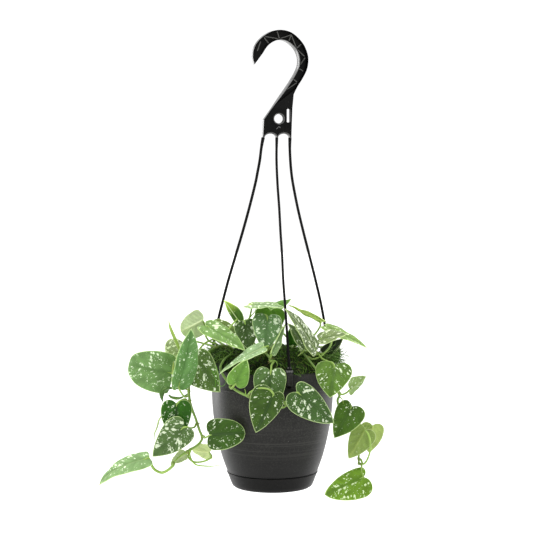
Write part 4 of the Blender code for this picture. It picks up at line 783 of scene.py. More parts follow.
def leaf_under():
    g = Graph("satin_leaf_underside")
    tint, grid = g.colour("tint"), g.value("grid", True)
    rib, rim, through = g.value("rib"), g.value("rim"), g.value("through")
    broad = g.noise(grid, 0.10, 2, 0.5)
    fine = g.noise(grid, 1.2, 4, 0.65)
    tone = g.math("ADD", g.step(broad, 0.25, 0.75, 0.84, 1.14), g.step(fine, 0.28, 0.72, -0.15, 0.15))
    green = g.mix(1.0, tint, tone, "MULTIPLY")
    wave = g.shift(grid, g.noise(grid, 0.25, 1, 0.5, colour=True), 1.2)
    split = g.new("ShaderNodeSeparateXYZ")
    g.put(split.inputs[0], wave)
    veins = g.math("ABSOLUTE", g.math("SUBTRACT", g.math("FRACT", g.math("DIVIDE", split.outputs[1], 6.2)), 0.5))
    vein = g.step(veins, 0.0, 0.12, 1.0, 0.0)
    green = g.mix(g.math("MULTIPLY", vein, 0.30), green, g.mix(1.0, tint, (0.62, 0.72, 0.55), "MULTIPLY"))
    # the upper side's blotches show faintly through
    flat = g.value("flat", True)
    ragged = g.shift(flat, g.noise(flat, 0.42, 2, 0.60, colour=True), 4.4)
    big = g.cells(g.place(ragged, (0.205, 0.225, 0.35)), 1.0)
    shows = g.step(g.math("SUBTRACT", g.math("ADD", g.math("MULTIPLY", through, 0.5), 0.10), big), 0.0, 0.07)
    shows = g.math("MULTIPLY", shows, g.math("MULTIPLY", g.step(rim, 1.0, 2.0), g.math("MINIMUM", g.math("MULTIPLY", through, 2.2), 0.8)))
    green = g.mix(shows, green, (0.66, 0.78, 0.54))
    green = g.mix(g.step(rib, 0.5, 2.2, 0.55, 0.0), green, g.mix(1.0, tint, (1.35, 1.25, 1.3), "MULTIPLY"))
    # the pale line along the margin is the same painted highlight of the rim, seen from below
    green = g.mix(g.math("MULTIPLY", g.step(rim, 0.3, 0.9, 1.0, 0.0), 0.6), green, (0.60, 0.72, 0.36))
    grain = g.noise(grid, 4.0, 3, 0.6)
    height = g.math("ADD", g.math("MULTIPLY", grain, 0.4), g.math("MULTIPLY", vein, 0.5))
    return g.finish(green, g.step(grain, 0.2, 0.8, 0.50, 0.62), g.bump(height, 0.4, 0.0003), Specular_IOR_Level=0.25)


def stem_skin():
    """Petioles, vines and shoots: yellow-green, streaked lengthways, darker at the nodes."""
    g = Graph("green_stem_skin")
    tint, grid = g.colour("tint"), g.value("grid", True)
    scar = g.value("scar")
    streak = g.noise(g.place(grid, (1.9, 0.10, 1.0)), 1.0, 3, 0.6)
    blot = g.noise(grid, 0.35, 3, 0.6)
    tone = g.math("ADD", g.step(streak, 0.25, 0.75, 0.82, 1.15), g.step(blot, 0.3, 0.7, -0.10, 0.12))
    colour = g.mix(1.0, tint, tone, "MULTIPLY")
    colour = g.mix(g.math("MULTIPLY", g.step(streak, 0.52, 0.72), 0.22), colour, (0.62, 0.74, 0.30))
    colour = g.mix(g.math("MULTIPLY", scar, g.step(blot, 0.25, 0.6, 0.45, 0.95)), colour, (0.16, 0.13, 0.045))
    grain = g.noise(grid, 2.6, 3, 0.6)
    height = g.math("ADD", g.math("MULTIPLY", streak, 0.7), g.math("MULTIPLY", grain, 0.4))
    return g.finish(colour, g.step(grain, 0.2, 0.8, 0.38, 0.56), g.bump(height, 0.5, 0.0003), Specular_IOR_Level=0.30)


def moss_fibre():
    g = Graph("moss_fibre")
    tint, grid = g.colour("tint"), g.value("grid", True)
    streak = g.noise(g.place(grid, (1.2, 0.5, 1.2)), 1.0, 4, 0.65)
    colour = g.mix(1.0, tint, g.step(streak, 0.2, 0.8, 0.55, 1.5), "MULTIPLY")
    colour = g.mix(g.step(g.noise(grid, 0.4, 2, 0.5), 0.58, 0.78, 0.0, 0.5), colour, (0.14, 0.12, 0.045))
    return g.finish(colour, 0.72, g.bump(streak, 0.6, 0.0004), Specular_IOR_Level=0.15)


def pot_plastic(name, sheen):
    """Charcoal moulded plastic: fine stipple, faint turned rings, dust and light scuffs."""
    g = Graph(name)
    here = g.coords()
    split = g.new("ShaderNodeSeparateXYZ")
    g.put(split.inputs[0], here)
    z = split.outputs[2]
    cloud = g.noise(here, 22, 4, 0.6)
    stipple = g.noise(here, 560, 4, 0.75)
    flat = g.place(here, (6, 6, 420))
    rings = g.noise(flat, 1.0, 2, 0.5)
    base = g.mix(g.step(cloud, 0.3, 0.7), (0.0098, 0.0097, 0.0082), (0.0160, 0.0158, 0.0136))
    base = g.mix(g.step(stipple, 0.46, 0.64, 0.0, 0.80), base, (0.040, 0.039, 0.034))
    # dust settles in streaks, and scuffs show pale
    scuff_line = g.noise(g.place(here, (40, 40, 900), turn=(0.3, 0.2, 0.5)), 1.0, 3, 0.55)
    scuff = g.math("MULTIPLY", g.step(scuff_line, 0.70, 0.78), g.step(g.noise(here, 30, 2, 0.5), 0.52, 0.66))
    base = g.mix(g.math("MULTIPLY", scuff, 0.45), base, (0.075, 0.075, 0.072))
    speck = g.step(g.cells(here, 105), 0.035, 0.055, 1.0, 0.0)
    base = g.mix(g.math("MULTIPLY", speck, 0.75), base, (0.17, 0.17, 0.155))
    ring_band = g.step(g.math("ABSOLUTE", g.math("ADD", z, 0.492)), 0.006, 0.030, 1.0, 0.0)
    base = g.mix(g.math("MULTIPLY", g.math("MULTIPLY", g.step(rings, 0.50, 0.60), ring_band), 0.75), base, (0.044, 0.043, 0.038))
    # painted shade: the plastic darkens towards the bottom, strongest on the saucer
    base = g.mix(1.0, base, g.step(z, -0.556, -0.43, 0.15, 0.92), "MULTIPLY")
    rough = g.math("ADD", g.step(cloud, 0.25, 0.75, 0.40, 0.48), g.math("MULTIPLY", scuff, 0.12))
    height = g.math("ADD", g.math("MULTIPLY", stipple, 0.55), g.math("MULTIPLY", rings, g.math("ADD", g.math("MULTIPLY", ring_band, 0.9), 0.35)))
    return g.finish(base, rough, g.bump(height, 0.35, 0.00022), Specular_IOR_Level=sheen)


def hanger_plastic(name, low, high, gloss, seam):
    """Black moulded plastic of the hanger: smooth, with flow marks and small pale worn places. The lighter, glossier
    copies made of it paint highlights on edges, ribs and beads.
    """
    g = Graph(name)
    here = g.coords()
    cloud = g.noise(here, 60, 4, 0.6)
    fine = g.noise(here, 1300, 2, 0.5)
    streak = g.noise(g.place(here, (700, 700, 35)), 1.0, 3, 0.6)
    base = g.mix(g.step(cloud, 0.3, 0.7), low, high)
    base = g.mix(g.math("MULTIPLY", g.step(streak, 0.56, 0.74), 0.4), base, tuple(2.4 * c for c in high))
    base = g.mix(g.math("MULTIPLY", g.step(g.cells(here, 160), 0.04, 0.07, 1.0, 0.0), 0.5), base, (0.07, 0.07, 0.067))
    rough = g.step(g.math("ADD", g.math("MULTIPLY", cloud, 0.5), g.math("MULTIPLY", streak, 0.5)), 0.3, 0.7, gloss, gloss + 0.12)
    height = g.math("ADD", g.math("MULTIPLY", fine, 0.5), g.math("MULTIPLY", streak, 0.5))
    return g.finish(base, rough, g.bump(height, 0.25, 0.0002), Specular_IOR_Level=seam)


def soil_grain():
    g = Graph("soil_grain")
    here = g.coords()
    lump, hue = g.cells(here, 300, colour=True)
    crumb = g.noise(here, 700, 4, 0.7)
    base = g.mix(g.step(crumb, 0.3, 0.7), (0.010, 0.006, 0.004), (0.060, 0.038, 0.022))
    base = g.mix(0.25, base, g.mix(1.0, hue, (0.10, 0.07, 0.05), "MULTIPLY"))
    base = g.mix(g.step(g.cells(here, 190), 0.10, 0.16, 0.8, 0.0), base, (0.55, 0.53, 0.48))
    height = g.math("SUBTRACT", crumb, g.math("MULTIPLY", lump, 1.2))
    return g.finish(base, g.step(crumb, 0.2, 0.8, 0.85, 0.98), g.bump(height, 0.9, 0.001))


def stage_paint():
    g = Graph("studio_white")
    here = g.coords()
    soft = g.noise(here, 1.2, 2, 0.5)
    colour = g.mix(soft, (0.93, 0.93, 0.93), (0.96, 0.96, 0.96))
    # the cove's floor is painted greyer right under the pot, in its colour and in its glow: a painted soft shadow
    split = g.new("ShaderNodeSeparateXYZ")
    g.put(split.inputs[0], here)
    away = g.math("SQRT", g.math("ADD", g.math("MULTIPLY", split.outputs[0], split.outputs[0]), g.math("MULTIPLY", split.outputs[1], split.outputs[1])))
    shade = g.step(away, 0.5, 1.9, 0.72, 1.0)
    colour = g.mix(1.0, colour, shade, "MULTIPLY")
    mat = g.finish(colour, 0.9)
    g.put(mat.node_tree.nodes["Principled BSDF"].inputs["Emission Color"], g.mix(1.0, (1.0, 1.0, 1.0), shade, "MULTIPLY"))
    mat.node_tree.nodes["Principled BSDF"].inputs["Emission Strength"].default_value = 0.35
    return mat


# ------------------------------------------------------------------- leaves
ACROSS = np.array([0, 0.03, 0.07, 0.13, 0.21, 0.31, 0.42, 0.53, 0.64, 0.75, 0.85, 0.925, 0.97, 1.0])
ROWS = 40
VEIN_SLOPE = 0.95
VEIN_STEP = 6.2


def leaf_reach(spec, steps=200):
    curl = math.radians(spec.get("curl", 0.0))
    s = np.linspace(0, 1, steps + 1)
    turn = -curl * (0.15 + 0.85 * s) * s
    arc = np.vstack([[0, 0], np.cumsum(np.stack([np.cos(turn), np.sin(turn)], 1)[:-1] / steps, axis=0)])
    return s, turn, arc


def bend_sheet(spec, x, y, lift):
    """Flat leaf coordinates, in leaf lengths, to the leaf's own 3-D frame."""
    s, turn, arc = leaf_reach(spec)
    fold, twist = math.radians(spec.get("fold", 0.0)), math.radians(spec.get("twist", 0.0))
    half = np.abs(x)
    rise = half * math.sin(fold) - 0.16 * half * half / max(spec["wide"], 0.2) + lift
    out = x * math.cos(fold)
    a = twist * (y - 0.5)
    out, rise = out * np.cos(a) - rise * np.sin(a), out * np.sin(a) + rise * np.cos(a)
    c0 = np.where(y < 0, y, np.interp(y, s, arc[:, 0]))
    c1 = np.where(y < 0, 0, np.interp(y, s, arc[:, 1]))
    t = np.where(y < 0, 0, np.interp(y, s, turn))
    return np.stack([out, c0 - np.sin(t) * rise, c1 + np.cos(t) * rise], -1)


def leaf_blade(name, spec, seed):
    """The blade as a closed skin: points, quads, triangles, material of each, and the values the shaders read."""
    rng = np.random.default_rng(seed)
    wide, skew, lobe = spec["wide"], spec.get("skew", 0.0), spec.get("lobe", 1.0)
    edge = smooth(half_outline(spec), ROWS + 1)
    _, _, arc = leaf_reach(spec)
    base, ax, ay, az, length = leaf_frame(spec, arc[-1])
    n = len(ACROSS)
    signed = np.concatenate([-ACROSS[:0:-1], ACROSS])
    b = np.abs(signed)
    rows = np.arange(1, ROWS)
    a = rows / ROWS
    mid = (a * a)[:, None]
    w = np.where(signed > 0, wide * (1 + skew), wide * (1 - skew))[None, :]
    wobble = 1 + 0.012 * np.sin(2 * math.pi * a * 2.3 + rng.uniform(0, 6))[:, None] * np.sign(signed)[None, :]
    ex, ey = edge[1:-1, 0][:, None], edge[1:-1, 1][:, None]
    ey = np.where(ey > 0, ey, ey * lobe)
    x = signed[None, :] * ex * w * wobble
    y = mid * (1 - b)[None, :] + ey * b[None, :]
    x = np.concatenate([[0.0], x.ravel(), [0.0]])
    y = np.concatenate([[0.0], y.ravel(), [1.0]])
    bb = np.concatenate([[0.0], np.tile(b, len(rows)), [0.0]])
    aa = np.concatenate([[0.0], np.repeat(a, len(signed)), [1.0]])
    half_width = np.concatenate([[0.5], (np.abs(ex) * w * np.ones((1, len(signed)))).ravel(), [0.5]]) * length
    rim = (1 - bb) * np.maximum(half_width, 0.5)
    rim[0], rim[-1] = 3.0, 0.4
    rib = np.abs(x) * length
    # side veins leave the midrib forwards and sweep towards the tip
    vein = (y - VEIN_SLOPE * np.abs(x) + 0.35 * x * x) * length
    grid = np.stack([x * length, vein, np.full(len(x), seed * 7.31)], 1)
    flat = np.stack([x * length, (y - 0.5 * np.abs(x)) * length, np.full(len(x), seed * 7.31)], 1)
    phase = rng.uniform(0, 2 * math.pi, 6)
    side = np.sign(x)
    wave = 0.55 * np.sin(2 * math.pi * 2.6 * aa + phase[0] + side * phase[1]) * bb ** 3
    wave += 0.35 * np.sin(2 * math.pi * 4.7 * aa + phase[2] + side * phase[3]) * bb ** 4
    wave += 0.40 * np.sin(2 * math.pi * (0.9 * y + 0.7 * x) + phase[4]) * np.sin(2 * math.pi * (0.8 * x) + phase[5])
    wave -= 0.60 * bb ** 7
    fade = np.clip((1 - aa) * 4, 0, 1)
    quilt = np.abs((vein / VEIN_STEP) % 1 - 0.5) * 2
    quilt = np.exp(-((quilt) / 0.30) ** 2) * np.clip(rib / 2.5, 0, 1) * np.clip(rim / 2.0, 0, 1)
    lift = (wave * fade - 0.30 * quilt - 0.55 * np.exp(-(rib / 1.5) ** 2) * np.clip((1 - aa) * 3, 0.2, 1)) / length
    bent = bend_sheet(spec, x, y, lift)
    points = base + length * (bent[:, :1] * ax + bent[:, 1:2] * ay + bent[:, 2:] * az)
    m = 2 * n - 1
    i, j = np.meshgrid(np.arange(ROWS - 2), np.arange(m - 1), indexing="ij")
    o = 1 + i * m + j
    quads = np.stack([o, o + 1, o + m + 1, o + m], -1).reshape(-1, 4)
    j = np.arange(m - 1)
    last = len(points) - 1
    top = 1 + (ROWS - 2) * m
    tris = np.vstack([np.stack([np.zeros(m - 1, int), 1 + j + 1, 1 + j], 1), np.stack([top + j, top + j + 1, np.full(m - 1, last)], 1)])
    normal = normals_of(points, [quads, tris])
    if np.dot(normal.mean(0), az) < 0:
        normal = -normal
        quads, tris = quads[:, ::-1], tris[:, ::-1]
    taper = np.sqrt(np.clip(1 - np.clip((bb - 0.85) / 0.15, 0, 1) ** 2, 0, 1))
    taper *= np.clip((1 - aa) * 9, 0.3, 1)
    up = 0.36 * taper
    down = 0.36 * taper + 0.95 * np.exp(-(rib / 0.85) ** 2) * np.clip(1 - aa, 0, 1) ** 0.7 * np.clip(rim / 1.5, 0, 1)
    down += 0.12 * quilt
    up[[0, -1]], down[[0, -1]] = 0, 0
    shared = bb >= 0.9999
    shared[[0, -1]] = True
    up[shared], down[shared] = 0, 0
    lower_index = np.where(shared, np.arange(len(points)), 0)
    extra = np.flatnonzero(~shared)
    lower_index[extra] = len(points) + np.arange(len(extra))
    verts = np.vstack([points + normal * up[:, None], (points - normal * down[:, None])[extra]])
    low_quads, low_tris = lower_index[quads[:, ::-1]], lower_index[tris[:, ::-1]]
    values = dict(grid=np.vstack([grid, grid[extra]]), flat=np.vstack([flat, flat[extra]]), rib=np.concatenate([rib, rib[extra]]), rim=np.concatenate([rim, rim[extra]]),
                  along=np.concatenate([aa, aa[extra]]))
    quad_mat = np.concatenate([np.zeros(len(quads), int), np.ones(len(low_quads), int)])
    tri_mat = np.concatenate([np.zeros(len(tris), int), np.ones(len(low_tris), int)])
    return verts, np.vstack([quads, low_quads]), np.vstack([tris, low_tris]), (quad_mat, tri_mat), values, (base, ay, az, length)


def near_on(line, point):
    k = int(np.argmin(np.linalg.norm(line - point, axis=1)))
    tangent = unit(line[min(k + 1, len(line) - 1)] - line[max(k - 1, 0)])
    return k, tangent


def tube_grid(along, spacing, sides, radius, seed):
    """Values that let a stem's shader streak lengthways: (round, along, seed) in mm."""
    k = np.concatenate([np.tile(np.arange(sides), (len(along) - 2) // sides), [0, 0]])
    angle = 2 * math.pi * k / sides
    return np.stack([np.cos(angle) * radius + seed * 3.7, along * spacing, np.sin(angle) * radius], 1)


def make_leaf(name, spec, skins, seed):
    up_tint, low_tint, spots, size = LOOKS[name]
    parts = Parts()
    verts, quads, tris, mats, values, (base, along, up, length) = leaf_blade(name, spec, seed)
    rng = np.random.default_rng(seed + 500)
    vary = 1 + rng.uniform(-0.06, 0.06, 3)
    top = np.array(linear(TINTS[up_tint], GAIN)) * vary
    low = np.array(linear(TINTS[low_tint], GAIN)) * vary
    # the two skins share the points of the margin, so the tint changes just inside it
    tint = np.tile(top, (len(verts), 1))
    own = np.unique(np.concatenate([quads[mats[0] == 1].ravel(), tris[mats[1] == 1].ravel()]))
    upper = np.unique(np.concatenate([quads[mats[0] == 0].ravel(), tris[mats[1] == 0].ravel()]))
    tint[np.setdiff1d(own, upper)] = low
    tint[np.intersect1d(own, upper)] = (top + low) / 2
    traits = TRAITS.get(name, {})
    for end, share in (("tip", np.clip((values["along"] - 0.5) / 0.35, 0, 1)), ("base", np.clip(1 - values["along"] / 0.3, 0, 1))):
        if end in traits:
            share = share[:, None]
            tint = tint * (1 - share) + np.array(linear(TINTS[traits[end]], GAIN)) * share
    parts.add(verts, quads, tris, mats, tint=tint, spots=spots, spot_size=size, scar=0.0, pale_rib=traits.get("pale_rib", 0.0),
              through=traits.get("through", 0.0), **values)
    # petiole, from inside its vine to under the midrib
    line = smooth([place(p) for p in VINES[spec["vine"]][1]], 240)
    radius = VINES[spec["vine"]][0]
    drawn = [place(p) for p in spec["stalk"]]
    k, tangent = near_on(line, drawn[0])
    onward = drawn[1] if len(drawn) > 1 else base
    away = onward - line[k]
    away = unit(away - tangent * np.dot(away, tangent))
    start = line[k] + away * (radius + 0.65)
    route = [line[k] - tangent * 1.2, line[k] + away * radius * 0.8 - tangent * 0.3, start, start + away * 2.0] + drawn[1:]
    route += [base - up * 0.5, base + along * 0.045 * length - up * 0.75, base + along * 0.10 * length - up * 0.8]
    count = 8 + 4 * len(route)
    path = smooth(route, count)
    run = np.concatenate([[0], np.cumsum(np.linalg.norm(np.diff(path, axis=0), axis=1))])
    tail = run[-1] - run
    size_along = np.interp(run, [0, 1.5, 4.0, 9.0], [1.85, 1.75, 1.40, 1.20])
    size_along *= traits.get("stalk", 1.0)
    size_along *= np.interp(run / run[-1], [0, 0.6, 1], [1, 0.96, 0.9])
    size_along *= np.interp(tail, [0, 3.0, 6.0, 9.0], [0.45, 0.85, 1.16, 1.0])
    verts, quads, tris, ring_of = tube(path, size_along, 10)
    rings = len(path) + 4
    where = np.clip(ring_of - 2, 0, len(path) - 1)
    stem = np.array(linear((152, 186, 88), GAIN)) * (1 + rng.uniform(-0.12, 0.12))
    deep = np.array(linear((92, 132, 44), GAIN))
    share = np.interp(run[where], [0, 5, 14], [0.55, 0.15, 0.0])[:, None]
    parts.add(verts, quads, tris, 2, tint=stem * (1 - share) + deep * share,
              grid=tube_grid(ring_of, run[-1] / len(path), 10, 1.2, seed), spots=0.0, spot_size=1.0, rib=5.0, rim=5.0, along=0.0,
              pale_rib=0.0, through=0.0, flat=np.zeros((len(verts), 3)),
              scar=np.interp(run[where], [0, 2.2, 3.2, 4.4], [0.2, 0.2, 0.5, 0.0]))
    piece = parts.make(name + "_blade", skins)
    return piece


def make_spear(name, skins, seed):
    """The leaf that is still rolled: a slender furled cone with its overlapping edge."""
    vine, drawn, radii = SPEARS[name]
    line = smooth([place(p) for p in VINES[vine][1]], 240)
    points = [place(p) for p in drawn]
    k, tangent = near_on(line, points[0])
    away = points[1] - line[k]
    away = unit(away - tangent * np.dot(away, tangent))
    points[0] = line[k] + away * (VINES[vine][0] + 0.65)
    route = [line[k]] + [points[0], points[0] + away * 2.0] + points[1:]
    path = smooth(route, 44)
    run = np.concatenate([[0], np.cumsum(np.linalg.norm(np.diff([points[0]] + points[1:], axis=0), axis=1))])
    size = np.interp(np.linspace(0, run[-1], len(path)), run, radii)
    sides = 20
    verts, quads, tris, ring_of = tube(path, size, sides)
    where = np.clip(ring_of - 2, 0, len(path) - 1)
    # a spiral step where the outer edge overlaps the roll
    centre = path[where]
    spoke = verts - centre
    k = np.concatenate([np.tile(np.arange(sides), (len(verts) - 2) // sides), [0, 0]])
    angle = (k / sides + 0.010 * where) % 1.0
    furled = np.clip((where - 16) / 6, 0, 1)
    verts = centre + spoke * (1 + furled * (0.34 * (angle - 0.45)))[:, None]
    tint = np.array(linear((176, 204, 96), GAIN))
    dark = np.array(linear((120, 158, 62), GAIN))
    share = (np.clip(1 - angle * 3.5, 0, 1) * furled)[:, None]
    parts = Parts()
    parts.add(verts, quads, tris, 2, tint=tint * (1 - share) + dark * share, grid=tube_grid(ring_of, run[-1] / len(path), sides, 1.8, seed),
              spots=0.0, spot_size=1.0, rib=5.0, rim=5.0, along=0.0, pale_rib=0.0, through=0.0, flat=np.zeros((len(verts), 3)), scar=0.0)
    return parts.make(name + "_furled", skins)


# ------------------------------------------------------------- vines
# small parts carried by the vines: (points on the elevation, radii, tint)
SHOOTS = {
    "vine_left": [
        ([(189.6, 449.8, -58), (190, 456, -61), (193.4, 462.5, -64), (198.6, 465.4, -66), (210.6, 466.2, -67), (218, 465.6, -67), (225, 465.4, -67)],
         [1.2, 1.0, 0.95, 0.85, 0.75, 0.4, 0.15], (150, 190, 72)),
        ([(176, 411, -53), (165, 414, -58), (159.5, 419, -60), (157, 427.5, -60), (154.4, 434, -60), (154.2, 441, -60)],
         [0.9, 0.9, 1.0, 1.1, 0.9, 0.3], (184, 208, 138)),
        ([(189.4, 391, -50), (180, 385, -54), (174.8, 378, -56), (173.4, 370, -56), (173.6, 362, -55)],
         [1.0, 1.3, 2.0, 2.1, 0.6], (150, 170, 84)),
        ([(189.4, 393, -50), (180, 398, -56), (172, 397.4, -58), (169.2, 395.4, -58)], [0.9, 0.9, 2.0, 1.2], (88, 126, 46)),
        ([(180, 389, -58), (168, 388, -58), (162.8, 390, -58), (161.6, 396, -58), (162.6, 401.5, -58)], [0.7, 1.2, 2.6, 3.2, 0.5], (70, 108, 38)),
    ],
    "vine_front": [
        ([(232, 387, -68), (230, 382, -72), (228, 379, -74)], [0.7, 0.5, 0.2], (170, 196, 90)),
        ([(246, 395.4, -82), (245.2, 390.6, -84), (244.6, 389, -84)], [0.6, 0.5, 0.3], (150, 190, 80)),
        ([(287.3, 403.5, -92), (289.6, 402.0, -92.5), (291.6, 401.2, -93)], [1.2, 0.8, 0.3], (180, 208, 110)),
    ],
    "vine_right": [
        ([(339.0, 395.6, -52), (342.4, 400, -52), (343.4, 403.5, -51)], [0.8, 0.6, 0.2], (170, 196, 90)),
        ([(357.4, 431.5, -31), (361, 431.0, -29), (366, 428, -27)], [0.9, 0.8, 0.4], (184, 206, 108)),
    ],
    "vine_crown_mid": [
        ([(270.0, 359.5, -68), (275.5, 361, -72), (277.4, 364.6, -74), (276.4, 367, -75)], [0.7, 0.6, 0.5, 0.2], (130, 170, 70)),
    ],
    "vine_crown_left": [
        ([(244, 322.5, -7), (250, 317.2, -9), (254.8, 311.5, -9), (255.6, 309, -9)], [1.0, 0.8, 0.7, 0.3], (158, 196, 70)),
    ],
    "vine_crown_right": [
        ([(309.8, 347, -24), (304, 351.4, -34), (298, 355.8, -42)], [1.1, 1.0, 0.7], (160, 190, 96)),
    ],
    "vine_back": [
        (None, None, None),
    ],
}


def make_vine(name, skin, seed):
    radius, drawn = VINES[name]
    rng = np.random.default_rng(seed)
    placed = [place(p) for p in drawn]
    rough_run = float(np.sum(np.linalg.norm(np.diff(smooth(placed, 80), axis=0), axis=1)))
    count = int(rough_run / 0.9)
    path = smooth(placed, count)
    run = np.linspace(0, rough_run, count)
    nodes = []
    for spec in LEAVES.values():
        if spec["vine"] == name:
            k, _ = near_on(path, place(spec["stalk"][0]))
            nodes.append(run[k])
    for spear, (vine, points, _) in SPEARS.items():
        if vine == name:
            k, _ = near_on(path, place(points[0]))
            nodes.append(run[k])
    size = radius * np.interp(run / run[-1], [0, 0.7, 1], [1.02, 1.0, 0.78])
    size *= 1 + 0.025 * np.sin(run / 5.1 + rng.uniform(0, 6))
    scar = np.zeros(count)
    for s0 in nodes:
        size += radius * (0.26 * np.exp(-((run - s0) / 1.7) ** 2) - 0.14 * np.exp(-((run - s0 - 1.9) / 0.45) ** 2))
        scar = np.maximum(scar, 0.8 * np.exp(-((run - s0 - 1.9) / 0.55) ** 2))
    sides = 14
    verts, quads, tris, ring_of = tube(path, size, sides)
    where = np.clip(ring_of - 2, 0, count - 1)
    young = np.array(linear((142, 178, 80), GAIN))
    old = np.array(linear((94, 126, 54), GAIN))
    share = np.interp(run[where] / run[-1], [0, 0.35, 1], [0.9, 0.55, 0.15])[:, None]
    parts = Parts()
    parts.add(verts, quads, tris, 0, tint=young * (1 - share) + old * share, grid=tube_grid(ring_of, 0.9, sides, 1.6, seed), scar=scar[where])
    # stubs of roots at the nodes
    for s0 in nodes:
        k = int(np.argmin(abs(run - s0)))
        tangent = unit(path[min(k + 1, count - 1)] - path[max(k - 1, 0)])
        for _ in range(int(rng.integers(1, 4))):
            away = rng.normal(size=3)
            away = unit(away - tangent * np.dot(away, tangent))
            reach = rng.uniform(1.6, 3.6)
            foot = path[k] + tangent * rng.uniform(-1.0, 1.2)
            bend = foot + away * (radius + reach * 0.6) + np.array([0, 0, -0.3])
            end = foot + away * (radius + reach) + np.array([0, 0, -0.3 - 0.25 * reach])
            stub = smooth([foot, foot + away * radius, bend, end], 9)
            v, q, t, r = tube(stub, np.interp(np.linspace(0, 1, 9), [0, 0.5, 1], [0.5, 0.40, 0.22]), 7)
            parts.add(v, q, t, 0, tint=np.array(linear((172, 168, 96), GAIN)), grid=tube_grid(r, 0.5, 7, 0.5, seed), scar=0.25)
    for points, radii, tint in SHOOTS.get(name, []):
        if points is None:
            continue
        route = smooth([place(p) for p in points], 10 + 5 * len(points))
        size = np.interp(np.linspace(0, 1, len(route)), np.linspace(0, 1, len(radii)), radii)
        v, q, t, r = tube(route, size, 10)
        parts.add(v, q, t, 0, tint=np.array(linear(tint, GAIN)), grid=tube_grid(r, 1.0, 10, 1.0, seed + 3), scar=0.0)
    return parts.make(name + "_stem", [skin])


# -------------------------------------------------------------------- moss
def mound(x, y):
    """Height of the moss: the dome, and the tufts that well up by the rim at the left and the right."""
    r = np.hypot(x, y)
    azimuth = np.degrees(np.arctan2(x, -y))
    dome = MOSS_TOP_Z - (MOSS_TOP_Z - MOSS_EDGE_Z) * (np.minimum(r, 72.4) / 72.4) ** 3.4
    swell = 17.0 * np.exp(-((azimuth + 86) / 36) ** 2) + 6.0 * np.exp(-((azimuth - 84) / 26) ** 2) + 3.0 * np.exp(-((azimuth - 4) / 60) ** 2)
    return dome + swell * np.clip((r - 42) / 20, 0, 1) * np.clip((72.2 - r) / 4.5, 0, 1)


def lean(points):
    """Where the tufts well up, they lean out over the rim."""
    points = np.array(points, float)
    x, y, z = points[:, 0], points[:, 1], points[:, 2]
    azimuth = np.degrees(np.arctan2(x, -y))
    share = 0.135 * np.exp(-((azimuth + 86) / 32) ** 2) + 0.08 * np.exp(-((azimuth - 84) / 24) ** 2)
    share = share * np.clip((z - 151.2) / 6, 0, 1) * np.clip((np.hypot(x, y) - 46) / 20, 0, 1)
    points[:, :2] *= (1 + share)[:, None]
    return points


